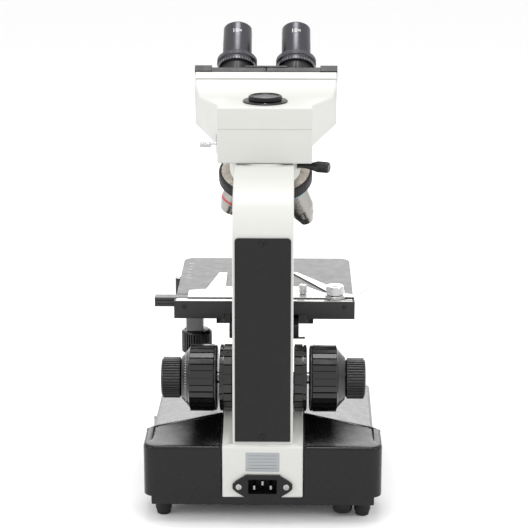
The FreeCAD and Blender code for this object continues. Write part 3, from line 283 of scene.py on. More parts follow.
# Texture powder coat on sheet steel: charcoal, matt, fine hard bumps, drawn 0.7 mm apart so that they show.
TEXTURE_COAT = Finish("Charcoal texture powder coat", "#19191A", Grain.CRINKLED, 0.7, 0.09, 0.6, shine=0.34,
                      spread=0.16)
# Powder-coated steel pan under the base.
PAN_COAT = Finish("Black powder coat", "#101013", Grain.CRINKLED, 0.9, 0.05, 0.5, shine=0.4, spread=0.06)
# Black nitrile rubber, moulded, a little dusty.
RUBBER = Finish("Black nitrile rubber", "#161617", Grain.MOULDED, 0.5, 0.05, 0.78, spread=0.15)
# Bead-blasted, hard-anodised aluminium plate: dark grey, it mirrors a bright room softly.
HARD_ANODISED = Finish("Hard anodised aluminium plate", "#313133", Grain.BLASTED, 0.5, 0.004, 0.38,
                       shine=0.5, spread=0.04)
# Turned and black-anodised aluminium: very fine rings round the axis.
BLACK_TURNED = Finish("Black anodised turned aluminium", "#161618", Grain.TURNED, 0.25, 0.006, 0.32,
                      shine=0.5, spread=0.06)
# The eyepieces' charcoal anodising, satin, with a broad soft highlight.
EYE_BARREL = Finish("Charcoal anodised barrel", "#525256", Grain.TURNED, 0.3, 0.004, 0.32,
                    metallic=0.92, spread=0.05)
# Satin black paint on machined brackets.
BLACK_PAINT = Finish("Satin black paint", "#1B1B1D", Grain.SPRAYED, 1.2, 0.006, 0.4, shine=0.5,
                     spread=0.05)
# Cast and machined aluminium left bare: light grey, slightly grainy.
BARE_CAST = Finish("Bare cast aluminium", "#9C9C9E", Grain.BLASTED, 0.8, 0.03, 0.45, metallic=0.85,
                   spread=0.05)
# Satin nickel on pressed steel sheet, brushed along its length.
SATIN_NICKEL = Finish("Satin nickel sheet", "#D4D4D2", Grain.BRUSHED, 0.35, 0.01, 0.3, metallic=1.0,
                      spread=0.03, axis=(0.0, 1.0, 0.0))
# Hard chrome on a turned part, with faint lathe rings.
CHROME = Finish("Turned hard chrome", "#D9D9DA", Grain.TURNED, 0.3, 0.01, 0.16, metallic=1.0, spread=0.03)
# Satin chrome of objective barrels: pale silver-grey.
SATIN_CHROME = Finish("Satin chrome barrel", "#A8A5A1", Grain.TURNED, 0.25, 0.012, 0.26, metallic=1.0,
                      spread=0.04)
# Bright nickel on the objective turret, slightly warm.
TURRET_NICKEL = Finish("Turned nickel turret", "#C6BEB5", Grain.TURNED, 0.3, 0.012, 0.2, metallic=1.0,
                       spread=0.06)
# Ground shaft steel.
GROUND_STEEL = Finish("Ground steel shaft", "#A9A9AC", Grain.TURNED, 0.2, 0.008, 0.25, metallic=1.0)
# Zinc-plated screw steel.
SCREW_STEEL = Finish("Zinc plated screw steel", "#C3C3C2", Grain.TURNED, 0.15, 0.01, 0.28, metallic=1.0)
# Black-oxide screw steel of the cover plate and guide block.
DARK_SCREW = Finish("Black oxide screw steel", "#3A3A3C", Grain.TURNED, 0.15, 0.01, 0.35, metallic=1.0)
# Cut brass rack.
BRASS = Finish("Cut brass", "#B08D4C", Grain.BRUSHED, 0.3, 0.01, 0.35, metallic=1.0)
# Printed epoxy board under green solder resist.
SOLDER_RESIST = Finish("Green solder resist", "#1E5A35", Grain.SPRAYED, 2.0, 0.01, 0.4, spread=0.1)
# Printed or filled white graduations.
WHITE_INK = Finish("White graduation ink", "#E8E8E6", Grain.SPRAYED, 0.4, 0.01, 0.6, spread=0.02)
# Printed black graduations.
BLACK_INK = Finish("Black graduation ink", "#1B1B1B", Grain.SPRAYED, 0.4, 0.01, 0.6, spread=0.02)
# Silvered polyester label film.
LABEL_FILM = Finish("Silvered polyester film", "#A4A8AA", Grain.BRUSHED, 0.3, 0.004, 0.5, metallic=0.2,
                    spread=0.05)
# Coated crown glass.
LENS_GLASS = Finish("Coated crown glass", "#DDE8E4", Grain.POLISHED, 30.0, 0.0, 0.03, ior=1.52,
                    spread=0.01, clear=1.0)
# Blue daylight filter glass.
BLUE_GLASS = Finish("Blue filter glass", "#7FA8D8", Grain.POLISHED, 30.0, 0.0, 0.04, ior=1.52,
                    spread=0.01, clear=0.85)
# Eye and front lenses: coated glass drawn opaque, its dark colour painted shade for the unlit tube behind it,
# so they look dark from outside.
LENS_PAINTED_SHADE = Finish("Dark coated eye lens", "#20242A", Grain.POLISHED, 30.0, 0.0, 0.04, ior=1.6, coat=1.0,
                   spread=0.01)


def ring_paint(name: str, colour: str) -> Finish:
    """Enamel filled into a colour ring of an objective.

    Args:
        name: the colour's name.
        colour: sRGB hex.

    Returns:
        The finish.
    """
    return Finish(f"{name} ring enamel", colour, Grain.SPRAYED, 0.6, 0.005, 0.3, coat=0.3, spread=0.04)


# ---- meshes --------------------------------------------------------------------
def finish_mesh(name: str, bm: bmesh.types.BMesh, place: Matrix, outward: bool = True) -> bpy.types.Object:
    """Turns a bmesh in millimetres into a shaded object in metres.

    Args:
        name: the piece's name.
        bm: the mesh, freed here.
        place: its placement, in millimetres.
        outward: whether to work out which way the faces point.

    Returns:
        The object, linked, at the origin.
    """
    if outward:
        bmesh.ops.recalc_face_normals(bm, faces=bm.faces)
    bm.transform(Matrix.Scale(MM, 4) @ place)
    mesh = bpy.data.meshes.new(name)
    bm.to_mesh(mesh)
    bm.free()
    mesh.shade_smooth()
    mesh.set_sharp_from_angle(angle=CREASE)
    made = bpy.data.objects.new(name, mesh)
    bpy.context.scene.collection.objects.link(made)
    return made


def eased(profile: Profile, radius: float, steps: int = 3) -> list[tuple[float, float]]:
    """Rounds the corners of an open profile.

    Args:
        profile: its points.
        radius: how far from each corner the rounding starts.
        steps: pieces in each rounding.

    Returns:
        The points of the rounded profile.
    """
    points = [Vector(p) for p in profile]
    made = [points[0]]
    for before, corner, after in zip(points, points[1:], points[2:]):
        reach = min(radius, 0.45 * (corner - before).length, 0.45 * (after - corner).length)
        if reach < 1e-4:
            made.append(corner)
            continue
        start = corner + (before - corner).normalized() * reach
        end = corner + (after - corner).normalized() * reach
        for step in range(steps + 1):
            share = step / steps
            made.append(start * (1 - share) ** 2 + corner * 2 * share * (1 - share) + end * share ** 2)
    made.append(points[-1])
    return [(p.x, p.y) for p in made]


def lathe(name: str, profile: Profile, place: Matrix, easing: float = 0.5, sides: int = 96,
          carve: Callable[[float, float], float] | None = None) -> bpy.types.Object:
    """Turns a profile about local Z.

    Args:
        name: the piece's name.
        profile: radius and height of each point; a closed loop where both ends are the same point.
        place: placement of the turned shape, in millimetres.
        easing: rounding of the profile's corners.
        sides: segments round the axis.
        carve: depth taken off at a radius and an angle.

    Returns:
        The turned object.
    """
    points = eased(profile, easing) if easing else list(profile)
    closed = (Vector(points[0]) - Vector(points[-1])).length < 1e-6
    if closed:
        points = points[:-1]
    bm = bmesh.new()
    rings = []
    for radius, height in points:
        if radius < 1e-6:
            rings.append([bm.verts.new((0, 0, height - (carve(0, 0) if carve else 0)))])
            continue
        ring = []
        for index in range(sides):
            angle = 2 * math.pi * index / sides
            drop = carve(radius, angle) if carve else 0
            ring.append(bm.verts.new((radius * math.cos(angle), radius * math.sin(angle), height - drop)))
        rings.append(ring)
    pairs = list(zip(rings, rings[1:]))
    if closed:
        pairs.append((rings[-1], rings[0]))
    for lower, upper in pairs:
        for index in range(sides):
            after = (index + 1) % sides
            corners = [lower[index % len(lower)], lower[after % len(lower)],
                       upper[after % len(upper)], upper[index % len(upper)]]
            corners = list(dict.fromkeys(corners))
            if len(corners) > 2:
                bm.faces.new(corners)
    for ring in (rings[0], rings[-1]):
        if not closed and len(ring) > 1:
            bm.faces.new(ring)
    return finish_mesh(name, bm, place)


def panel(name: str, outline: Profile, thickness: float, bevel: float, place: Matrix,
          corner: float = 0.0) -> bpy.types.Object:
    """A flat plate with eased upper edges.

    Args:
        name: the piece's name.
        outline: corners in local X and Y.
        thickness: along local Z.
        bevel: width of the easing.
        place: placement, in millimetres.
        corner: rounding of the plan's corners.

    Returns:
        The plate.
    """
    if corner:
        looped = list(outline) + [outline[0], outline[1]]
        outline = eased(looped, corner, 5)[1:-1]
        outline = outline[:len(outline) - 1]
    bm = bmesh.new()
    lower = [bm.verts.new((x, y, 0)) for x, y in dict.fromkeys(outline)]
    upper = [bm.verts.new((v.co.x, v.co.y, thickness)) for v in lower]
    bm.faces.new(list(reversed(lower)))
    top = bm.faces.new(upper)
    for index in range(len(lower)):
        after = (index + 1) % len(lower)
        bm.faces.new([lower[index], lower[after], upper[after], upper[index]])
    if bevel:
        bmesh.ops.bevel(bm, geom=list(top.edges), offset=bevel, segments=2, profile=0.5, affect="EDGES")
    return finish_mesh(name, bm, place)


def softened(node: str, width: float, keep: Callable[[Vector], bool] | None = None,
             steps: int = 3) -> bpy.types.Object:
    """A copy of a CAD node with its outer edges rounded, as a cast, moulded or deburred part has.

    Args:
        node: the CAD node, which the copy stands for.
        width: of the rounding.
        keep: whether the edge with this middle point, in millimetres, is rounded.
        steps: facets across the rounding.

    Returns:
        The copy.
    """
    bm = bmesh.new()
    bm.from_mesh(frame["nodes"][node].data)
    bmesh.ops.remove_doubles(bm, verts=bm.verts, dist=WELD)
    bmesh.ops.dissolve_limit(bm, angle_limit=FLAT, verts=bm.verts, edges=bm.edges)
    bm.transform(Matrix.Scale(1 / MM, 4))
    sharp = []
    for edge in bm.edges:
        if len(edge.link_faces) != 2 or not edge.is_convex:
            continue
        if edge.calc_face_angle(0) < LEAST_TURN:
            continue
        middle = (edge.verts[0].co + edge.verts[1].co) / 2
        if keep is None or keep(middle):
            sharp.append(edge)
    bmesh.ops.bevel(bm, geom=sharp, offset=width, segments=steps, profile=0.5, affect="EDGES",
                    clamp_overlap=False, loop_slide=True)
    bmesh.ops.triangulate(bm, faces=[f for f in bm.faces if len(f.verts) > 4])
    made = finish_mesh(node + "_shell", bm, Matrix.Identity(4), outward=False)
    weighted = made.modifiers.new("weighted", "WEIGHTED_NORMAL")
    weighted.keep_sharp = True
    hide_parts(node)
    return made


def joined(name: str, parts: Sequence[bpy.types.Object]) -> bpy.types.Object:
    """Joins meshes that share a finish into one.

    Args:
        name: the joined piece's name.
        parts: the meshes, removed here.

    Returns:
        The joined object.
    """
    bm = bmesh.new()
    for part in parts:
        bm.from_mesh(part.data)
    for part in parts:
        bpy.data.objects.remove(part)
    bm.transform(Matrix.Scale(1 / MM, 4))
    return finish_mesh(name, bm, Matrix.Identity(4), outward=False)


# ---- what repeats ---------------------------------------------------------------
class Repeat:
    """A Geometry Nodes tree that repeats one small shape, with named inputs for its sizes."""

    def __init__(self, name: str, inputs: dict[str, tuple[str, object]]) -> None:
        """Makes the tree and its inputs.

        Args:
            name: the tree's name.
            inputs: socket type and starting value of each named input.
        """
        self.tree = bpy.data.node_groups.new(name, "GeometryNodeTree")
        self.tree.interface.new_socket("Geometry", in_out="INPUT", socket_type="NodeSocketGeometry")
        self.tree.interface.new_socket("Geometry", in_out="OUTPUT", socket_type="NodeSocketGeometry")
        for label, (kind, value) in inputs.items():
            socket = self.tree.interface.new_socket(label, in_out="INPUT", socket_type=kind)
            if value is not None:
                socket.default_value = value
        self.given = add(self.tree, "NodeGroupInput").outputs

    def finish(self, instances: bpy.types.NodeSocket) -> None:
        """Ends the tree: realised, dressed and sent out."""
        real = add(self.tree, "GeometryNodeRealizeInstances", inputs={0: instances})
        dressed = add(self.tree, "GeometryNodeSetMaterial", inputs={
            "Geometry": real.outputs[0], "Material": self.given["Material"]})
        add(self.tree, "NodeGroupOutput", inputs={0: dressed.outputs[0]})

    def stretch(self) -> bpy.types.NodeSocket:
        """Scale of each bar: every so many is longer."""
        index = add(self.tree, "GeometryNodeInputIndex")
        rest = add(self.tree, "ShaderNodeMath", {"operation": "MODULO"}, {
            0: index.outputs[0], 1: self.given["Long Every"]})
        is_long = add(self.tree, "ShaderNodeMath", {"operation": "LESS_THAN"}, {0: rest.outputs[0], 1: 0.5})
        grown = add(self.tree, "ShaderNodeMath", {"operation": "MULTIPLY_ADD"}, {
            0: is_long.outputs[0], 1: self.given["Long Extra"], 2: 1.0})
        return add(self.tree, "ShaderNodeCombineXYZ", inputs={
            "X": 1.0, "Y": 1.0, "Z": grown.outputs[0]}).outputs[0]

    def bar(self) -> bpy.types.NodeSocket:
        """One bar along Z: a prism of some sides, flattened to its depth and width."""
        plain = add(self.tree, "GeometryNodeMeshCylinder", inputs={
            "Vertices": self.given["Sides"], "Radius": 0.5, "Depth": self.given["Length"]})
        half = add(self.tree, "ShaderNodeMath", {"operation": "DIVIDE"}, {0: math.pi, 1: self.given["Sides"]})
        spin = add(self.tree, "ShaderNodeCombineXYZ", inputs={"Z": half.outputs[0]})
        turned = add(self.tree, "GeometryNodeTransform", inputs={
            "Geometry": plain.outputs[0], "Rotation": spin.outputs[0]})
        size = add(self.tree, "ShaderNodeCombineXYZ", inputs={
            "X": self.given["Depth"], "Y": self.given["Width"], "Z": 1.0})
        return add(self.tree, "GeometryNodeTransform", inputs={
            "Geometry": turned.outputs[0], "Scale": size.outputs[0]}).outputs[0]

    def bake(self, name: str, values: dict[str, object], finish: Finish, place: Matrix,
             points: Sequence[Vector] = ()) -> bpy.types.Object:
        """Runs the tree and keeps its result as a plain mesh.

        Args:
            name: the piece's name.
            values: input values, lengths in millimetres.
            finish: its finish.
            place: placement of the result, in millimetres.
            points: places of the repeated shape, where the tree takes them.

        Returns:
            The finished object.
        """
        seed = bpy.data.meshes.new(name + "_seed")
        seed.from_pydata([tuple(p) for p in points], [], [])
        host = bpy.data.objects.new(name + "_host", seed)
        bpy.context.scene.collection.objects.link(host)
        modifier = host.modifiers.new("repeat", "NODES")
        modifier.node_group = self.tree
        keys = {item.name: item.identifier for item in self.tree.interface.items_tree
                if item.in_out == "INPUT"}
        modifier[keys["Material"]] = finish.material()
        for label, value in values.items():
            modifier[keys[label]] = value
        evaluated = host.evaluated_get(bpy.context.evaluated_depsgraph_get())
        mesh = bpy.data.meshes.new_from_object(evaluated)
        host.modifiers.remove(modifier)
        bpy.data.objects.remove(host)
        mesh.name = name
        mesh.transform(Matrix.Scale(MM, 4) @ place)
        mesh.shade_smooth()
        mesh.set_sharp_from_angle(angle=math.radians(50))
        made = bpy.data.objects.new(name, mesh)
        bpy.context.scene.collection.objects.link(made)
        return made


BAR_INPUTS = {
    "Count": ("NodeSocketInt", 24), "Width": ("NodeSocketFloat", 1.0), "Depth": ("NodeSocketFloat", 1.0),
    "Length": ("NodeSocketFloat", 5.0), "Sides": ("NodeSocketInt", 8), "Long Every": ("NodeSocketInt", 1),
    "Long Extra": ("NodeSocketFloat", 0.0), "Material": ("NodeSocketMaterial", None),
}


def ring_of_bars() -> Repeat:
    """Tree for ribs, knurls and graduations round an axis."""
    made = Repeat("ring_of_bars", {**BAR_INPUTS, "Radius": ("NodeSocketFloat", 10.0)})
    circle = add(made.tree, "GeometryNodeMeshCircle", inputs={
        "Vertices": made.given["Count"], "Radius": made.given["Radius"]})
    place = add(made.tree, "GeometryNodeInputPosition")
    out = add(made.tree, "FunctionNodeAlignRotationToVector", {"axis": "X", "pivot_axis": "Z"}, {
        "Vector": place.outputs[0]})
    spread = add(made.tree, "GeometryNodeInstanceOnPoints", inputs={
        "Points": circle.outputs[0], "Instance": made.bar(), "Rotation": out.outputs[0],
        "Scale": made.stretch()})
    made.finish(spread.outputs[0])
    return made


def row_of_bars() -> Repeat:
    """Tree for grip ribs and straight scales: bars along Z, set side by side along Y."""
    made = Repeat("row_of_bars", {**BAR_INPUTS, "Pitch": ("NodeSocketFloat", 1.0)})
    step = add(made.tree, "ShaderNodeCombineXYZ", inputs={"Y": made.given["Pitch"]})
    line = add(made.tree, "GeometryNodeMeshLine", inputs={
        "Count": made.given["Count"], "Offset": step.outputs[0]})
    spread = add(made.tree, "GeometryNodeInstanceOnPoints", inputs={
        "Points": line.outputs[0], "Instance": made.bar(), "Scale": made.stretch()})
    made.finish(spread.outputs[0])
    return made


def heads_at_points() -> Repeat:
    """Tree that sets one screw head at each point of its input."""
    made = Repeat("heads_at_points", {
        "Head": ("NodeSocketObject", None), "Material": ("NodeSocketMaterial", None)})
    head = add(made.tree, "GeometryNodeObjectInfo", inputs={"Object": made.given["Head"]})
    spots = add(made.tree, "GeometryNodeMeshToPoints", inputs={"Mesh": made.given["Geometry"]})
    spread = add(made.tree, "GeometryNodeInstanceOnPoints", inputs={
        "Points": spots.outputs[0], "Instance": head.outputs["Geometry"]})
    made.finish(spread.outputs[0])
    return made


RING = ring_of_bars()
ROW = row_of_bars()
HEADS = heads_at_points()


# ---- sub-assemblies -----------------------------------------------------------
@dataclass
class Assembly:
    """A group of pieces that is built, dressed and reported together.

    Args:
        body: the CAD body that most of its pieces ride on.
    """

    body: str = "stand"

    def keep(self, piece: bpy.types.Object, finish: Finish, slot: str, body: str = "",
             stands_for: Sequence[str] = ()) -> bpy.types.Object:
        """Dresses a piece and sets it on its body.

        Args:
            piece: the mesh.
            finish: its finish.
            slot: the record's material slot; not used.
            body: the CAD body it rides on, or the assembly's own.
            stands_for: CAD nodes that it replaces.

        Returns:
            The piece.
        """
        piece.data.materials.clear()
        piece.data.materials.append(finish.material())
        if stands_for:
            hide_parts(*stands_for)
        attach(piece, body or self.body)
        LOG.info("%s on %s: %d faces", piece.name, body or self.body, len(piece.data.polygons))
        return piece

    def dress(self, node: str, finish: Finish) -> None:
        """Gives a CAD node that stays as it is its real finish."""
        shown = frame["nodes"][node]
        for index in range(len(shown.material_slots)):
            shown.material_slots[index].material = finish.material()
        LOG.info("%s dressed in %s", node, finish.name)

    def knurl(self, name: str, place: Matrix, radius: float, start: float, length: float, count: int,
              finish: Finish, slot: str, body: str = "", depth: float = 1.0, fill: float = 0.8,
              sides: int = 8) -> bpy.types.Object:
        """Straight ribs round an axis.

        Args:
            name: the piece's name.
            place: placement whose Z is the axis.
            radius: outside radius of the ribs.
            start: where they start along the axis.
            length: of the ribs.
            count: of the ribs.
            finish: their finish.
            slot: the record's material slot.
            body: the CAD body, or the assembly's own.
            depth: of each bar.
            fill: share of the pitch that a rib covers.
            sides: of each bar's section.

        Returns:
            The ribs.
        """
        tall = depth * math.cos(math.pi / sides)
        values = {"Count": count, "Radius": radius - tall / 2, "Depth": depth, "Length": length,
                  "Width": fill * 2 * math.pi * radius / count, "Sides": sides}
        middle = place @ Matrix.Translation((0, 0, start + length / 2))
        return self.keep(RING.bake(name, values, finish, middle), finish, slot, body)


def screw_head(radius: float, rise: float) -> bpy.types.Object:
    """A pan head with a cross recess, made once and repeated.

    Args:
        radius: of the head.
        rise: of its crown.

    Returns:
        The head, in millimetres about the origin.
    """
    arm = 0.2 * radius

    def recess(at: float, angle: float) -> float:
        across = min(abs(at * math.sin(angle)), abs(at * math.cos(angle)))
        return 0.5 * rise if at < 0.62 * radius and across < arm else 0.0

    shares = (1.0, 1.0, 0.93, 0.8, 0.66, 0.6, 0.45, 0.3, 0.2, 0.0)
    heights = (0.0, 0.45, 0.75, 0.9, 0.95, 0.97, 1.0, 1.0, 1.0, 1.0)
    profile = [(radius * share, rise * height) for share, height in zip(shares, heights)]
    head = lathe("screw_head", profile, Matrix.Scale(1 / MM, 4), easing=0, sides=32, carve=recess)
    head.hide_render = True
    return head


@dataclass
class Housing(Assembly):
    """Base, arm and what is fixed to them."""

    label_wide: float = 28.5
    label_tall: float = 17.0
    label_rise: float = 2.8          # above the inlet's flange
    pin_wide: float = 4.0
    pin_thick: float = 2.0
    pin_pitch: float = 14.0
    foot_step: float = 4.0

    def build(self) -> None:
        """Makes every piece of the housing."""
        self.shells()
        self.feet()
        self.inlet()
        self.label()
        self.screws()
        self.lamp()
        self.controls()

    def shells(self) -> None:
        """White casting, black covers, pan and the arm's cover plate."""
        low_cut = low("stand_casting").z
        self.keep(softened("stand_casting", 1.6, keep=lambda p: p.z > low_cut + 1), ENAMEL, "white_enamel")
        for side in ("right", "left"):
            node = "base_cover_" + side
            top = low(node).z + 4
            self.keep(softened(node, 3.0, keep=lambda p: p.z > top, steps=4), SATIN_ABS, "black_cover")
        self.keep(softened("bottom_pan", 1.2), PAN_COAT, "pan_steel")
        self.keep(softened("arm_cover_plate", 0.5), TEXTURE_COAT, "charcoal_plate")

    def feet(self) -> None:
        """Four turned rubber feet."""
        lowest, highest = low("rubber_feet"), high("rubber_feet")
        radius = 7.0
        profile = [(0, 0.6), (2.2, 0.6), (2.6, 0), (radius - 1.4, 0), (radius - 0.6, self.foot_step),
                   (radius, self.foot_step + 0.6), (radius, highest.z), (0, highest.z)]
        feet = []
        for x in (lowest.x + radius, highest.x - radius):
            for y in (lowest.y + radius, highest.y - radius):
                feet.append(lathe("foot", profile, Matrix.Translation((x, y, 0)), 0.4, 48))
        self.keep(joined("feet", feet), RUBBER, "foot_rubber", stands_for=["rubber_feet"])

    def inlet(self) -> None:
        """Mains inlet: moulded shell and three flat pins."""
        self.keep(softened("mains_inlet", 0.5), SATIN_ABS, "inlet_plastic")
        face = high("mains_inlet").y
        middle = (low("mains_inlet").z + high("mains_inlet").z) / 2
        pins = []
        for column, drop in ((-1, -2.0), (0, 2.0), (1, -2.0)):
            outline = [(-self.pin_thick / 2, -self.pin_wide / 2), (self.pin_thick / 2, -self.pin_wide / 2),
                       (self.pin_thick / 2, self.pin_wide / 2), (-self.pin_thick / 2, self.pin_wide / 2)]
            spot = Vector((column * self.pin_pitch / 2, face - 17.0, middle + drop))
            pins.append(panel("pin", outline, 14.0, 0.6, facing(spot, Vector((0, 1, 0)))))
        self.keep(joined("inlet_pins", pins), GROUND_STEEL, "bright_chrome")

    def label(self) -> None:
        """A blank silver rating label with ruled rows."""
        face = high("stand_casting").y
        bottom = high("mains_inlet").z + self.label_rise
        half = self.label_wide / 2
        outline = [(-half, 0), (half, 0), (half, self.label_tall), (-half, self.label_tall)]
        place = facing(Vector((0, face, bottom)), Vector((0, 1, 0)), Vector((-1, 0, 0)))
        self.keep(panel("rating_label", outline, 0.15, 0.05, place, 1.2), LABEL_FILM, "screw_steel")
        rows = {"Count": 5, "Pitch": self.label_tall / 6, "Length": self.label_wide - 5, "Width": 0.28,
                "Depth": 0.1, "Sides": 4}
        spot = Vector((0, face + 0.16, bottom + self.label_tall / 6))
        turn = facing(spot, Vector((1, 0, 0)), Vector((0, 1, 0)))
        self.keep(ROW.bake("label_rows", rows, BLACK_INK, turn), BLACK_INK, "gloss_black")

    def screws(self) -> None:
        """Pan-head screws of the cover plate and the inlet."""
        head = screw_head(2.6, 1.3)
        low_y, high_y = low("arm_cover_plate"), high("arm_cover_plate")
        slope = Vector((0, high_y.z - low_y.z, 0)) + Vector((0, 0, 14.5))
        square = slope.normalized()
        surface = []
        for z in (high_y.z - 4, low_y.z + 4):
            share = (z - low_y.z) / (high_y.z - low_y.z)
            y = high_y.y - (high_y.y - low_y.y - 1.5) * share
            surface.append(Vector((0, y, z)))
        place = facing(surface[0], square)
        away = place.inverted() @ surface[1]
        points = [Vector((0, 0, 0)), away]
        self.keep(HEADS.bake("arm_screws", {"Head": head}, DARK_SCREW, place, points), DARK_SCREW,
                  "screw_steel", stands_for=["casing_screws"])
        flange = high("mains_inlet")
        middle = (low("mains_inlet").z + flange.z) / 2
        place = facing(Vector((0, flange.y, middle)), Vector((0, 1, 0)))
        spread = [Vector((-20, 0, 0)), Vector((20, 0, 0))]
        self.keep(HEADS.bake("inlet_screws", {"Head": head}, SCREW_STEEL, place, spread), SCREW_STEEL,
                  "screw_steel")
        bpy.data.objects.remove(head)

    def lamp(self) -> None:
        """Field lens in its knurled collar, and what is sealed under it."""
        seat, top = low("collector_housing").z + 18.5, high("collector_housing").z
        profile = [(13, top - 6.2), (13, seat), (30.9, seat), (30.9, seat + 3), (30.2, seat + 4),
                   (30.2, seat + 8.5), (27, seat + 10), (24.2, top - 0.6), (23.4, top), (19.2, top),
                   (19.2, top - 6.2), (13, top - 6.2)]
        place = Matrix.Identity(4)
        self.keep(lathe("lamp_collar", profile, place, 0.4), BLACK_TURNED, "black_anodised",
                  stands_for=["collector_housing"])
        self.knurl("lamp_collar_ribs", place, 30.9, seat + 4, 4.4, 90, BLACK_TURNED, "black_anodised",
                   depth=1.2)
        lens = [(0, top - 6), (18.9, top - 6), (18.9, top - 3.2)]
        lens += [(18.9 * math.cos(a), top - 3.2 + 2.8 * math.sin(a))
                 for a in (0.2, 0.45, 0.7, 0.95, 1.2, 1.4)]
        lens.append((0, top - 0.4))
        self.keep(lathe("field_lens_glass", lens, place, 0), LENS_GLASS, "optical_glass",
                  stands_for=["field_lens"])
        self.dress("power_supply_board", SOLDER_RESIST)
        self.dress("led_module", BARE_CAST)
        self.dress("nosepiece_base", BLACK_PAINT)

    def controls(self) -> None:
        """Rocker switch, brightness knob and fuse cap."""
        self.keep(softened("rocker_switch", 0.5), GLOSS_ABS, "gloss_black", "power_switch")
        axis = joint_axis("brightness_turn")
        start = joint_point("brightness_turn")
        place = facing(start, axis)
        profile = [(0, -3), (3, -3), (3, 0), (9.6, 0), (10.9, 0.8), (10.9, 2.2), (10.0, 3.0), (9.4, 11.2),
                   (8.4, 12.0), (6.0, 11.6), (0, 11.6)]
        self.keep(lathe("brightness_knob_body", profile, place, 0.4), GLOSS_ABS, "knob_black",
                  "brightness_knob", ["dimmer_knob"])
        self.knurl("brightness_knob_ribs", place, 10.4, 3.2, 7.6, 30, GLOSS_ABS, "knob_black",
                   "brightness_knob", 1.2)
        mark = panel("brightness_pointer", [(-0.4, 3.4), (0.4, 3.4), (0.4, 7.6), (-0.4, 7.6)], 0.15, 0.0,
                     place @ Matrix.Translation((0, 0, 11.7)))
        self.keep(mark, WHITE_INK, "knob_black", "brightness_knob")
        middle = (low("fuse_holder") + high("fuse_holder")) / 2
        spot = Matrix.Translation((middle.x, middle.y, low("fuse_holder").z))
        cap = [(0, 1.4), (4.5, 1.4), (5, 0), (7.2, 0), (8.0, 0.8), (9.3, 8.4), (9.3, 9), (6.4, 9), (6.4, 31),
               (0, 31)]
        self.keep(lathe("fuse_cap", cap, spot, 0.4, 64), SATIN_ABS, "inlet_plastic",
                  stands_for=["fuse_holder"])


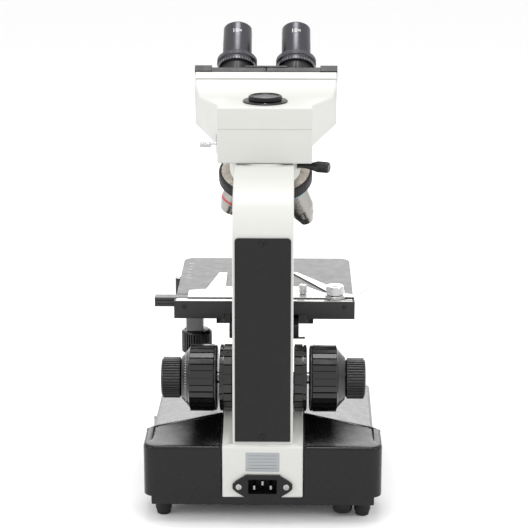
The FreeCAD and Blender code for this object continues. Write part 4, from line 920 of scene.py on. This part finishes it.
@dataclass
class FocusDrive(Assembly):
    """Coaxial focus knobs and the rings next to the arm."""

    coarse_radius: float = 28.5
    fine_radius: float = 17.5
    grip: float = 24.4
    cone: float = 6.4
    fine_grip: float = 17.0
    flutes: int = 30
    fine_ribs: int = 44
    ring_blocks: int = 22

    def build(self) -> None:
        """Makes both sides of the drive."""
        self.dress("coarse_shaft", GROUND_STEEL.turned_about(Vector((1, 0, 0))))
        self.dress("fine_shaft", GROUND_STEEL.turned_about(Vector((1, 0, 0))))
        self.keep(softened("focus_rack", 0.4), BRASS, "rack_brass", "coarse_carriage")
        for side, sign in (("right", 1), ("left", -1)):
            self.coarse(side, sign)
            self.fine(side, sign)
        self.ring("limit_ring", "travel_stop_ring", 1)
        self.ring("tension_ring", "drag_ring", -1)

    def axis_place(self, sign: int, distance: float) -> Matrix:
        """Placement on the focus axis, pointing away from the arm.

        Args:
            sign: +1 on the +X side.
            distance: from the middle of the arm.

        Returns:
            The placement.
        """
        centre = joint_point("coarse_turn")
        return facing(Vector((sign * distance, centre.y, centre.z)), Vector((sign, 0, 0)), Vector((0, 1, 0)))

    def coarse(self, side: str, sign: int) -> None:
        """One coarse knob: fluted drum, rims and a cone with its scale."""
        inner = high("coarse_knobs").x - self.grip - self.cone
        place = self.axis_place(sign, inner)
        r, grip, cone = self.coarse_radius, self.grip, self.cone
        body = "coarse_drive"
        profile = [(2.6, 0), (r - 3.6, 0), (r - 1.4, 0.4), (r - 0.4, 1.4), (r - 0.4, 2.6), (r - 1.5, 3.4),
                   (r - 1.5, grip - 2.0), (r - 1.9, grip - 0.6), (r - 3.4, grip), (19.6, grip + cone - 1.6),
                   (18.2, grip + cone), (2.6, grip + cone), (2.6, 0)]
        knob = lathe("coarse_knob_" + side, profile, place, 0.8, 120)
        self.keep(knob, GLOSS_ABS, "knob_black", body, ["coarse_knobs"] if sign > 0 else [])
        self.knurl("coarse_flutes_" + side, place, r, 3.2, grip - 4.4, self.flutes, GLOSS_ABS, "knob_black",
                   body, 2.4, 1.12, 4)
        if sign > 0:
            self.cone_scale(place, grip, cone, body)

    def cone_scale(self, place: Matrix, grip: float, cone: float, body: str) -> None:
        """Graduations round the cone of the graduated knob."""
        start = Vector((self.coarse_radius - 3.4, grip))
        end = Vector((19.6, grip + cone - 1.6))
        along = (end - start).normalized()
        parts = []
        for index in range(60):
            angle = 2 * math.pi * index / 60
            reach = 2.6 if index % 5 == 0 else 1.7
            middle = start.lerp(end, 0.52)
            out = Vector((along.y, -along.x)) * 0.04
            rings = [(middle + along * along_at + out) for along_at in (-reach / 2, reach / 2)]
            spin = place @ Matrix.Rotation(angle, 4, "Z")
            bm = bmesh.new()
            corners = [bm.verts.new((p.x, w, p.y)) for p in rings for w in (-0.14, 0.14)]
            bm.faces.new([corners[0], corners[1], corners[3], corners[2]])
            thick = bmesh.ops.extrude_face_region(bm, geom=bm.faces[:])
            moved = [v for v in thick["geom"] if isinstance(v, bmesh.types.BMVert)]
            bmesh.ops.translate(bm, verts=moved, vec=(0.1 * along.y, 0, -0.1 * along.x))
            parts.append(finish_mesh("tick", bm, spin))
        self.keep(joined("coarse_scale", parts), WHITE_INK, "knob_black", body)

    def fine(self, side: str, sign: int) -> None:
        """One fine knob with its ribs and dished end."""
        start = high("fine_knobs").x - self.fine_grip
        place = self.axis_place(sign, start)
        r, grip = self.fine_radius, self.fine_grip
        profile = [(0, 0), (r - 2.2, 0), (r - 1.2, 0.6), (r - 0.9, 1.4), (r - 0.9, grip - 1.6),
                   (r - 1.6, grip - 0.3), (r - 3.0, grip), (r - 4.4, grip - 0.9), (0, grip - 0.9)]
        body = "fine_drive"
        self.keep(lathe("fine_knob_" + side, profile, place, 0.5), GLOSS_ABS, "knob_black", body,
                  ["fine_knobs"] if sign > 0 else [])
        self.knurl("fine_ribs_" + side, place, r, 1.2, grip - 2.8, self.fine_ribs, GLOSS_ABS, "knob_black",
                   body, 2.0, 0.78)

    def ring(self, node: str, body: str, sign: int) -> None:
        """A ring next to the arm: a groove between two rows of blocks."""
        near = low(node).x if sign > 0 else -high(node).x
        width = high(node).x - low(node).x
        place = self.axis_place(sign, near)
        r = self.coarse_radius + 0.3
        profile = [(5.4, 0), (r - 2.2, 0), (r - 1.6, 0.5), (r - 1.6, width - 0.5), (r - 2.2, width),
                   (5.4, width), (5.4, 0)]
        self.keep(lathe(node + "_drum", profile, place, 0.4), GLOSS_ABS, "black_anodised", body, [node])
        self.knurl(node + "_blocks_inner", place, r - 0.2, 0.5, width - 4.2, self.ring_blocks, GLOSS_ABS,
                   "black_anodised", body, 2.6, 1.2, 4)
        self.knurl(node + "_blocks_outer", place, r - 0.6, width - 2.9, 2.4, self.ring_blocks, GLOSS_ABS,
                   "black_anodised", body, 2.0, 0.9, 4)


@dataclass
class MechanicalStage(Assembly):
    """Stage plate, rear guide, rail, slide holder and stage drive."""

    body: str = "stage"
    block_screw: float = 2.0

    def build(self) -> None:
        """Makes the stage."""
        self.keep(softened("stage_bracket", 0.8), BLACK_PAINT, "black_painted", "stage_carrier")
        self.keep(softened("focus_slide", 0.3), GROUND_STEEL, "shaft_steel", "stage_carrier")
        self.keep(softened("stage_top_plate", 0.7), HARD_ANODISED, "stage_black")
        self.keep(softened("rear_guide_block", 0.4), BLACK_PAINT, "black_anodised")
        self.keep(softened("drive_housing", 0.8), BARE_CAST, "cast_aluminium")
        self.keep(softened("x_rail", 0.35), HARD_ANODISED, "stage_black", "slide_holder")
        self.keep(softened("specimen_holder", 0.25), SATIN_NICKEL, "bright_steel", "slide_holder")
        self.keep(softened("spring_finger", 0.25), SATIN_NICKEL, "bright_steel", "finger")
        self.scales()
        self.block_screws()
        self.post()
        self.small_turned()
        self.drive_knobs()

    def scales(self) -> None:
        """Graduated strip behind the rail, and the short scale at the stage's edge."""
        block_high, rail = high("rear_guide_block"), high("x_rail")
        block_low = low("rear_guide_block")
        y0, y1 = rail.y + 0.9, block_high.y - 0.8
        x0, x1 = block_low.x + 2, block_high.x - 2
        outline = [(x0, y0), (x1, y0), (x1, y1), (x0, y1)]
        top = Matrix.Translation((0, 0, block_high.z))
        self.keep(panel("x_scale_strip", outline, 0.25, 0.08, top, 0.6), SATIN_NICKEL, "bright_steel")
        values = {"Count": 101, "Pitch": 1.0, "Length": 1.6, "Width": 0.16, "Depth": 0.1, "Sides": 4,
                  "Long Every": 10, "Long Extra": 0.8}
        spot = Vector((-50.0, y0 + 1.8, block_high.z + 0.25))
        turn = facing(spot, Vector((0, 1, 0)), Vector((0, 0, 1)))
        self.keep(ROW.bake("x_scale_marks", values, BLACK_INK, turn), BLACK_INK, "gloss_black")
        plate = high("stage_top_plate")
        values = {"Count": 6, "Pitch": 9.5, "Length": 3.4, "Width": 1.1, "Depth": 0.1, "Sides": 4}
        spot = Vector((plate.x - 7.5, -26.0, plate.z + 0.02))
        turn = facing(spot, Vector((1, 0, 0)), Vector((0, 0, 1)))
        self.keep(ROW.bake("y_scale_marks", values, WHITE_INK, turn), WHITE_INK, "bright_steel")

    def block_screws(self) -> None:
        """Two sunk screws in the back of the guide block."""
        head = screw_head(self.block_screw, 0.6)
        far, near = high("rear_guide_block"), low("rear_guide_block")
        place = facing(Vector((0, far.y - 0.1, far.z - 4.6)), Vector((0, 1, 0)), Vector((1, 0, 0)))
        spots = [Vector((x, 0, 0)) for x in (near.x + 9.0, far.x - 9.0)]
        self.keep(HEADS.bake("guide_block_screws", {"Head": head}, DARK_SCREW, place, spots), DARK_SCREW,
                  "screw_steel")
        bpy.data.objects.remove(head)

    def post(self) -> None:
        """Black post at the stage's side with a bright button on top."""
        lowest, highest = low("side_post"), high("side_post")
        middle = (lowest + highest) / 2
        place = Matrix.Translation((middle.x, middle.y, lowest.z))
        r, tall = (highest.x - lowest.x) / 2, highest.z - lowest.z
        body = [(0, 0), (r - 0.6, 0), (r, 0.6), (r, tall - 2.4), (0, tall - 2.4)]
        self.keep(lathe("side_post_barrel", body, place, 0.3, 64), BLACK_PAINT, "black_painted",
                  stands_for=["side_post"])
        cap = [(0, tall - 2.4), (r - 0.2, tall - 2.4), (r - 0.2, tall - 0.6), (r - 0.9, tall), (0, tall)]
        self.keep(lathe("side_post_button", cap, place, 0.3, 64), CHROME, "bright_chrome")

    def small_turned(self) -> None:
        """Knurled thumbscrew and finger nut of the slide holder."""
        for node, dish in (("holder_thumbscrew", 0.3), ("finger_nut", 0.5)):
            lowest, highest = low(node), high(node)
            middle = (lowest + highest) / 2
            place = Matrix.Translation((middle.x, middle.y, lowest.z))
            r, tall = (highest.x - lowest.x) / 2, highest.z - lowest.z
            profile = [(0, 0), (r - 0.9, 0), (r - 0.3, 0.6), (r - 0.3, tall - 0.8), (r - 0.9, tall),
                       (0.6 * r, tall), (0.5 * r, tall - dish), (0, tall - dish)]
            if node == "finger_nut":
                profile = [(2.1, 0)] + profile[1:-1] + [(2.1, tall - dish), (2.1, 0)]
            self.keep(lathe(node + "_turned", profile, place, 0.25, 72), CHROME, "bright_chrome",
                      "slide_holder", [node])
            self.knurl(node + "_knurl", place, r, 0.7, tall - 1.6, round(7 * r), CHROME, "bright_chrome",
                       "slide_holder", 0.7)

    def drive_knobs(self) -> None:
        """Coaxial knobs that hang under the stage."""
        for node, body, r in (("y_knob", "y_drive", 13.5), ("x_knob", "x_drive", 11.0)):
            centre = joint_point(node + "_turn")
            lowest = low(node).z
            tall = 21.0 if node == "y_knob" else 19.0
            place = Matrix.Translation((centre.x, centre.y, lowest))
            bore = 3.05 if node == "y_knob" else 0.0
            neck = 5.0 if node == "y_knob" else 3.0
            stem = high(node).z - lowest
            profile = [(bore, 0), (r - 2.0, 0), (r - 1.0, 0.8), (r - 0.8, tall - 1.6), (r - 1.6, tall - 0.4),
                       (r - 3, tall), (neck, tall), (neck, stem), (bore, stem)]
            if bore:
                profile.append((bore, 0))
            self.keep(lathe(node + "_body", profile, place, 0.4), GLOSS_ABS, "knob_black", body, [node])
            self.knurl(node + "_ribs", place, r, 1.2, tall - 3.2, round(2.7 * r), GLOSS_ABS, "knob_black",
                       body, 2.0, 0.8)


@dataclass
class Condenser(Assembly):
    """Substage condenser with its ring, iris lever and filter arm."""

    body: str = "condenser"

    def build(self) -> None:
        """Makes the condenser."""
        self.keep(softened("condenser_ring", 0.5), BLACK_TURNED, "black_anodised", "condenser_lift_ring")
        ring_low = low("condenser_ring").z
        self.knurl("condenser_ring_knurl", Matrix.Identity(4), 27.6, ring_low + 1.5, 8.0, 80, BLACK_TURNED,
                   "black_anodised", "condenser_lift_ring", 1.6)
        self.keep(softened("condenser_body", 0.4), BLACK_TURNED, "black_anodised")
        top = high("condenser_body").z
        lens = [(0, top - 5), (9.95, top - 5), (9.95, top - 1.2), (9.0, top - 0.8), (0, top - 0.3)]
        self.keep(lathe("condenser_lens", lens, Matrix.Identity(4), 0.3), LENS_GLASS, "optical_glass")
        self.keep(softened("iris_lever", 0.3), SATIN_NICKEL, "bright_steel", "iris")
        self.keep(softened("filter_holder", 0.3), BLACK_TURNED, "black_anodised", "filter_arm")
        seat = low("filter_holder").z + 1.05
        disc = [(0, seat), (13.8, seat), (13.8, seat + 2.4), (0, seat + 2.4)]
        self.keep(lathe("blue_filter", disc, Matrix.Identity(4), 0.3), BLUE_GLASS, "optical_glass",
                  "filter_arm")


@dataclass(frozen=True)
class Power:
    """One objective: its place on the turret, its steps and its colour ring."""

    name: str
    angle: float
    steps: tuple[tuple[float, float], ...]
    ring: Finish
    ring_from: float


POWERS = (
    Power("4x", 90, ((12.2, 5.0), (11.6, 18.0), (9.5, 25.0), (8.5, 28.0)), ring_paint("Red", "#C23B3B"),
          14.0),
    Power("10x", 0, ((12.2, 5.0), (11.6, 22.0), (9.0, 30.0), (6.0, 37.5)), ring_paint("Yellow", "#E3BE36"),
          18.0),
    Power("40x", 270, ((12.2, 5.0), (11.6, 25.0), (9.5, 33.0), (6.0, 41.0)),
          ring_paint("Light blue", "#86C6D4"), 5.6),
    Power("100x", 180, ((12.2, 5.0), (11.6, 27.0), (9.5, 36.0), (4.5, 44.6)), ring_paint("White", "#ECECE8"),
          22.0),
)


@dataclass
class Nosepiece(Assembly):
    """Objective turret and its four objectives."""

    body: str = "turret"
    tilt: float = 20.0
    seat_circle: float = 23.0
    rim: float = 40.7
    rim_start: float = 47.5
    rim_end: float = 57.0
    rim_teeth: int = 110

    def build(self) -> None:
        """Makes the turret and each objective."""
        up = joint_axis("nosepiece_turn")
        apex = joint_point("nosepiece_turn")
        place = facing(apex, -up)
        self.keep(softened("nosepiece_turret", 0.5), TURRET_NICKEL.turned_about(up), "bright_chrome")
        rim = [(self.rim - 2.4, self.rim_start - 0.1), (self.rim + 0.1, self.rim_start - 0.1),
               (self.rim + 0.1, self.rim_end + 0.1), (self.rim - 2.4, self.rim_end + 0.1),
               (self.rim - 2.4, self.rim_start - 0.1)]
        self.keep(lathe("turret_rim", rim, place, 0.5, 128), BLACK_TURNED.turned_about(up), "gloss_black")
        self.knurl("turret_rim_knurl", place, self.rim + 0.7, self.rim_start + 0.8,
                   self.rim_end - self.rim_start - 1.6, self.rim_teeth, BLACK_TURNED.turned_about(up),
                   "gloss_black", depth=1.6)
        for power in POWERS:
            self.objective(power, apex, up)

    def objective(self, power: Power, apex: Vector, up: Vector) -> None:
        """One objective: threaded seat, stepped barrel, knurl, colour ring and front lens.

        Args:
            power: which one.
            apex: where the objectives' axes meet.
            up: the turret's axis.
        """
        lean = math.radians(self.tilt)
        back = Vector((0, math.cos(lean), -math.sin(lean)))
        angle = math.radians(power.angle)
        radial = back * math.cos(angle) + Vector((1, 0, 0)) * math.sin(angle)
        down = (-up * math.cos(lean) + radial * math.sin(lean)).normalized()
        place = facing(apex + down * (self.seat_circle / math.sin(lean)), down)
        (collar, a), (barrel, b), (nose, c), (tip, d) = power.steps
        profile = [(collar - 2.2, -4), (10.0, -4), (10.0, 0), (collar, 0), (collar, a - 0.6), (barrel, a),
                   (barrel, b), (barrel - 0.5, b + 0.4), (nose, c), (nose - 0.4, c + 0.3), (tip, d),
                   (tip - 1.6, d), (tip - 1.8, d - 1.0), (tip - 1.8, a), (collar - 2.2, a),
                   (collar - 2.2, -4)]
        node = "objective_" + power.name
        finish = SATIN_CHROME.turned_about(down)
        self.keep(lathe(node + "_barrel", profile, place, 0.3), finish, "barrel_silver", stands_for=[node])
        self.knurl(node + "_knurl", place, collar, 0.6, a - 1.4, 72, finish, "barrel_silver", depth=0.8)
        paint = [(barrel - 0.4, power.ring_from), (barrel + 0.06, power.ring_from),
                 (barrel + 0.06, power.ring_from + 2.2), (barrel - 0.4, power.ring_from + 2.2),
                 (barrel - 0.4, power.ring_from)]
        self.keep(lathe(node + "_colour_ring", paint, place, 0.1), power.ring, "barrel_silver")
        # Front lens drawn opaque and dark: painted shade of the unlit barrel behind it.
        lens = [(0, d - 1.6), (tip - 1.85, d - 1.6), (tip - 1.85, d - 0.7), (0, d - 0.3)]
        self.keep(lathe(node + "_lens", lens, place, 0.1, 48), LENS_PAINTED_SHADE, "optical_glass")


@dataclass
class Head(Assembly):
    """Trinocular head with its sliders, eyetubes, ports and rods."""

    body: str = "head"
    tilt: float = 45.0
    slab_half: float = 62.7
    plate_thick: float = 4.8
    slab_top: float = 15.2
    slab_low: float = -47.0
    underside: float = 288.3         # edges of the dovetail below this stay sharp
    rod_y: float = 17.0
    rod_rise: float = 13.4           # of the pull rod, above the head's turning point
    grip_long: float = 15.0
    socket: float = 14.5

    def build(self) -> None:
        """Makes the head."""
        centre = joint_point("dioptre_turn_right")
        self.front = facing(Vector((0, centre.y, centre.z)), joint_axis("dioptre_turn_right"))
        self.keep(softened("head_body", 1.8, keep=lambda p: p.z > self.underside), ENAMEL, "white_enamel")
        self.keep(softened("slider_frame", 0.7), ENAMEL, "white_enamel")
        self.dress("deflecting_prism", LENS_GLASS)
        self.seams()
        self.port()
        self.rods()
        self.centre_cover()
        for side, sign in (("right", 1), ("left", -1)):
            self.eye_plate(side, sign)
            self.eye_unit(side)

    def seams(self) -> None:
        """Joint lines of the two-part head casting, and the rod's escutcheon."""
        far = high("head_body")
        rear = far.y
        rise = low("head_body").z + 35.4
        half = 40.2
        line = [(-half, -0.15), (half, -0.15), (half, 0.15), (-half, 0.15)]
        place = facing(Vector((0, rear, rise)), Vector((0, 1, 0)))
        self.keep(panel("head_joint_line", line, 0.06, 0.0, place), JOINT_SHADE, "white_enamel")
        plate = [(-3.4, -8.2), (3.4, -8.2), (3.4, 8.2), (-3.4, 8.2)]
        place = self.rod_place(41.0)
        self.keep(panel("rod_escutcheon", plate, 0.8, 0.3, place, 1.2), BARE_CAST, "cast_aluminium")

    def rod_place(self, x: float) -> Matrix:
        """Placement on the pull rod's axis, pointing out of the head."""
        spot = Vector((x, self.rod_y, joint_point("head_turn").z + self.rod_rise))
        return facing(spot, Vector((1, 0, 0)), Vector((0, 1, 0)))

    def port(self) -> None:
        """Camera port's flange and its dust cap."""
        base = low("photo_port").z
        place = Matrix.Translation((0, 0, base))
        tall = high("photo_port").z - base
        rise = tall - 3.5
        profile = [(11.65, 0), (12.95, 0), (12.95, rise), (19.3, rise), (19.5, rise + 0.3),
                   (19.5, rise + 1.0),
                   (19.0, rise + 1.4), (12.95, rise + 1.4), (12.95, tall - 0.3), (12.6, tall), (11.65, tall),
                   (11.65, 0)]
        self.keep(lathe("port_flange", profile, place, 0.15), BLACK_TURNED, "black_anodised",
                  stands_for=["photo_port"])
        dot = [(0, 0), (0.7, 0), (0.7, 0.12), (0, 0.12)]
        spot = Matrix.Translation((0, 17.4, base + rise + 1.4))
        self.keep(lathe("port_index", dot, spot, 0.05, 24), WHITE_INK, "black_anodised")
        start = low("port_cap").z
        tall = high("port_cap").z - start
        cap = [(0, 2.2), (13.2, 2.2), (13.2, 0), (14.0, 0), (14.4, 0.5), (14.4, tall - 0.7), (13.8, tall),
               (12.6, tall), (11.9, tall - 0.9), (0, tall - 0.9)]
        place = Matrix.Translation((0, 0, start))
        self.keep(lathe("dust_cap", cap, place, 0.3), SATIN_ABS, "gloss_black", "camera_cap", ["port_cap"])
        self.knurl("dust_cap_ribs", place, 14.6, 0.6, tall - 1.6, 72, SATIN_ABS, "gloss_black", "camera_cap",
                   0.8)
        disc = [(0, tall - 0.95), (11.4, tall - 0.95), (11.4, tall - 0.75), (0, tall - 0.7)]
        self.keep(lathe("dust_cap_disc", disc, place, 0.1), EYE_BARREL, "gloss_black", "camera_cap")

    def rods(self) -> None:
        """Beam-path pull rod and the head's clamp screw."""
        self.keep(softened("pull_rod", 0.5), CHROME.turned_about(Vector((1, 0, 0))), "bright_chrome",
                  "beam_slide")
        place = self.rod_place(high("pull_rod").x - 9.8)
        for start in (0.7, 5.4):
            self.knurl(f"pull_rod_knurl_{round(start)}", place, 3.55, start, 3.6, 32,
                       CHROME.turned_about(Vector((1, 0, 0))), "bright_chrome", "beam_slide", 0.6)
        way = joint_axis("head_clamp_turn")
        place = facing(joint_point("head_clamp_turn"), way)
        profile = [(0, 15.4), (2.4, 15.4), (2.4, 38.6), (2.9, 40.5), (3.3, 43.5), (4.4, 46.6), (4.7, 48.4),
                   (4.75, 57.8), (4.1, 59.2), (2.4, 59.4), (0, 59.0)]
        self.keep(lathe("head_clamp_knob", profile, place, 0.5, 72), GLOSS_ABS, "knob_black", "head_clamp",
                  ["head_clamp_screw"])
        self.knurl("head_clamp_ribs", place, 4.95, 48.2, 9.6, 16, GLOSS_ABS, "knob_black", "head_clamp", 1.4,
                   0.7)

    def centre_cover(self) -> None:
        """Fixed cover over the meeting edges of the two sliding plates."""
        half, waist = 18.5, 9.5
        left = [(-half, self.slab_top + 0.6), (-half, 14.2), (-waist, 8), (-waist, -10), (-half, -17),
                (-half, self.slab_low + 2)]
        outline = left + [(-x, along) for x, along in reversed(left)]
        place = self.front @ Matrix.Translation((0, 0, 0.15))
        self.keep(panel("slider_cover", outline, 1.5, 0.4, place), BLACK_PAINT, "black_painted")

    def eye_plate(self, side: str, sign: int) -> None:
        """One sliding plate with the ribs of its finger grip."""
        body = "eye_plate_" + side
        self.keep(softened("eyetube_" + side, 0.4), BLACK_PAINT, "eye_black", body)
        long_side = self.slab_top - self.slab_low
        values = {"Count": 6, "Pitch": 2.5, "Length": long_side - 3, "Width": 1.4, "Depth": 1.6, "Sides": 8}
        middle = (self.slab_top + self.slab_low) / 2
        start = sign * (self.slab_half - self.grip_long / 2) - 6.25
        place = self.front @ Matrix.Translation((start, middle, 1.7))
        place = place @ Matrix.Rotation(math.pi / 2, 4, "X") @ Matrix.Rotation(math.pi / 2, 4, "Z")
        place = place @ Matrix.Scale(-1, 4, (0, 1, 0))
        ribs = ROW.bake("slider_grip_" + side, values, BLACK_PAINT, place)
        ribs.data.flip_normals()
        self.keep(ribs, BLACK_PAINT, "eye_black", body)
        edge = {**values, "Length": self.plate_thick - 1.0, "Depth": 1.5}
        place = self.front @ Matrix.Translation((start, self.slab_top, 0.1 - self.plate_thick / 2))
        place = place @ Matrix.Rotation(-math.pi / 2, 4, "Z")
        self.keep(ROW.bake("slider_edge_" + side, edge, BLACK_PAINT, place), BLACK_PAINT, "eye_black", body)

    def eye_unit(self, side: str) -> None:
        """Sleeve, dioptre ring and eyepiece of one eye."""
        axis = joint_axis("dioptre_turn_" + side)
        place = facing(joint_point("dioptre_turn_" + side), axis)
        self.dress("sleeve_" + side, GROUND_STEEL.turned_about(axis))
        barrel = EYE_BARREL.turned_about(axis)
        ring_body = "dioptre_" + side
        low_ring = [(self.socket + 0.3, 9), (16.4, 9), (16.6, 9.3), (16.6, 13.2), (17.2, 13.6), (17.6, 14.2),
                    (17.6, 17.6), (16.9, 18.3), (12.5, 18.3), (12.5, 14), (self.socket + 0.3, 14),
                    (self.socket + 0.3, 9)]
        self.keep(lathe("dioptre_ring_turned_" + side, low_ring, place, 0.25), barrel, "eye_black", ring_body,
                  ["dioptre_ring_" + side])
        self.knurl("dioptre_knurl_" + side, place, 17.95, 14.0, 3.8, 96, barrel, "eye_black", ring_body, 0.9)
        marks = {"Count": 40, "Radius": 16.62, "Width": 0.28, "Depth": 0.08, "Length": 1.2, "Sides": 4,
                 "Long Every": 5, "Long Extra": 0.7}
        ticks = RING.bake("dioptre_marks_" + side, marks, WHITE_INK,
                          place @ Matrix.Translation((0, 0, 10.6)))
        self.keep(ticks, WHITE_INK, "eye_black", ring_body)
        self.eyepiece(side, place, barrel)

    def eyepiece(self, side: str, place: Matrix, barrel: Finish) -> None:
        """A wide-field eyepiece: insert, barrel, eye lens and its power."""
        body = "ocular_" + side
        foot, tall = 18.5, 34.3
        top = foot + tall
        profile = [(9.2, 0), (11.6, 0), (11.6, foot), (12.2, foot), (12.4, foot + 1.6), (13.1, foot + 2.0),
                   (13.1, top - 1.2), (12.6, top - 0.2), (12.0, top), (11.4, top - 0.4), (9.2, top - 3.4),
                   (9.2, 0)]
        self.keep(lathe("eyepiece_barrel_" + side, profile, place, 0.35), barrel, "eye_black", body,
                  ["eyepiece_" + side])
        # Eye lens drawn opaque and dark: painted shade of the unlit tube behind it.
        lens = [(0, top - 7.5), (9.15, top - 7.5), (9.15, top - 4.4), (6.5, top - 3.5), (0, top - 2.9)]
        self.keep(lathe("eye_lens_" + side, lens, place, 0.6), LENS_PAINTED_SHADE, "optical_glass", body)
        self.power_mark(side, place, 13.1, top - 10.5, body)

    def power_mark(self, side: str, place: Matrix, radius: float, height: float, body: str) -> None:
        """The eyepiece's power as small raised figures round its barrel.

        Args:
            side: which eyepiece.
            place: its placement.
            radius: of the barrel.
            height: of the figures' middle along the axis.
            body: the body that it rides on.
        """
        curve = bpy.data.curves.new("power_" + side, "FONT")
        curve.body = "10×"
        curve.size = 5.8
        curve.align_x = "CENTER"
        curve.align_y = "CENTER"
        curve.resolution_u = 3
        text = bpy.data.objects.new("power_text", curve)
        bpy.context.scene.collection.objects.link(text)
        flat = bpy.data.meshes.new_from_object(text.evaluated_get(bpy.context.evaluated_depsgraph_get()))
        bpy.data.objects.remove(text)
        bm = bmesh.new()
        bm.from_mesh(flat)
        bmesh.ops.remove_doubles(bm, verts=bm.verts, dist=1e-4)
        thick = bmesh.ops.extrude_face_region(bm, geom=bm.faces[:])
        raised = [v for v in thick["geom"] if isinstance(v, bmesh.types.BMVert)]
        bmesh.ops.translate(bm, verts=raised, vec=(0, 0, 0.14))
        for vert in bm.verts:
            angle = math.pi / 2 - vert.co.x / radius
            out = radius - 0.04 + vert.co.z
            vert.co = Vector((-out * math.cos(angle), -out * math.sin(angle) * -1, vert.co.y + height))
        self.keep(finish_mesh("eyepiece_power_" + side, bm, place), WHITE_INK, "eye_black", body)


# ---- studio -----------------------------------------------------------------------
@dataclass
class Studio:
    """Floor, lights and camera."""

    camera_at: tuple[float, float, float] = (-26.0, 1477.5, 609.0)
    look_down: float = 15.8
    look_aside: float = 1.05
    lens: float = 117.8
    floor_reach: float = 6000.0

    def build(self) -> None:
        """Sets up the studio."""
        self.floor()
        self.light("left_softbox", (1500, 1000, 1000), 700, 5.0)
        self.light("right_softbox", (-1500, 900, 1300), 900, 5.0)
        self.light("top_softbox", (0, 60, 1500), 440, 6.0)
        self.light("front_softbox", (0, -1700, 800), 1400, 12.0)
        self.camera()

    def floor(self) -> None:
        """Pale floor that reaches past the view, and a pale room."""
        bm = bmesh.new()
        reach = self.floor_reach
        corners = [bm.verts.new((x, y, 0)) for x, y in ((-1, -1), (1, -1), (1, 1), (-1, 1))]
        for vert in corners:
            vert.co *= reach
        bm.faces.new(corners)
        made = finish_mesh("studio_floor", bm, Matrix.Translation((0, 0, -0.2)))
        matt = Finish("Matt white paper sweep", "#F4F4F4", Grain.SPRAYED, 3.0, 0.0, 0.9, spread=0.005)
        made.data.materials.append(matt.material())
        world = bpy.data.worlds.new("Studio room")
        world.use_nodes = True
        world.node_tree.nodes["Background"].inputs["Color"].default_value = linear("#FAFAFA")
        world.node_tree.nodes["Background"].inputs["Strength"].default_value = 1.12
        bpy.context.scene.world = world
        bpy.context.scene.view_settings.view_transform = "Standard"

    def light(self, name: str, at: tuple[float, float, float], size: float, power: float) -> None:
        """A square softbox that faces the object.

        Args:
            name: the light's name.
            at: its place, in millimetres.
            size: its side.
            power: in watts.
        """
        data = bpy.data.lights.new(name, "AREA")
        data.shape = "SQUARE"
        data.size = size * MM
        data.energy = power
        lamp = bpy.data.objects.new(name, data)
        spot = Vector(at) * MM
        lamp.location = spot
        lamp.rotation_euler = (Vector((0, 0, 0.2)) - spot).to_track_quat("-Z", "Y").to_euler()
        bpy.context.scene.collection.objects.link(lamp)

    def camera(self) -> None:
        """The camera behind the instrument, looking a little down."""
        data = bpy.data.cameras.new("camera")
        data.lens = self.lens
        data.sensor_width = 36.0
        data.clip_end = 50.0
        made = bpy.data.objects.new("camera", data)
        made.location = Vector(self.camera_at) * MM
        down, aside = math.radians(self.look_down), math.radians(self.look_aside)
        way = Vector((math.sin(aside) * math.cos(down), -math.cos(aside) * math.cos(down), -math.sin(down)))
        made.rotation_euler = way.to_track_quat("-Z", "Y").to_euler()
        bpy.context.scene.collection.objects.link(made)
        bpy.context.scene.camera = made


def main() -> None:
    """Builds every sub-assembly in order."""
    logging.basicConfig(level=logging.INFO, format="%(message)s")
    for part in (Housing(), FocusDrive(), MechanicalStage(), Condenser(), Nosepiece(), Head(), Studio()):
        LOG.info("building %s", type(part).__name__)
        part.build()


if __name__ == "__main__":
    main()
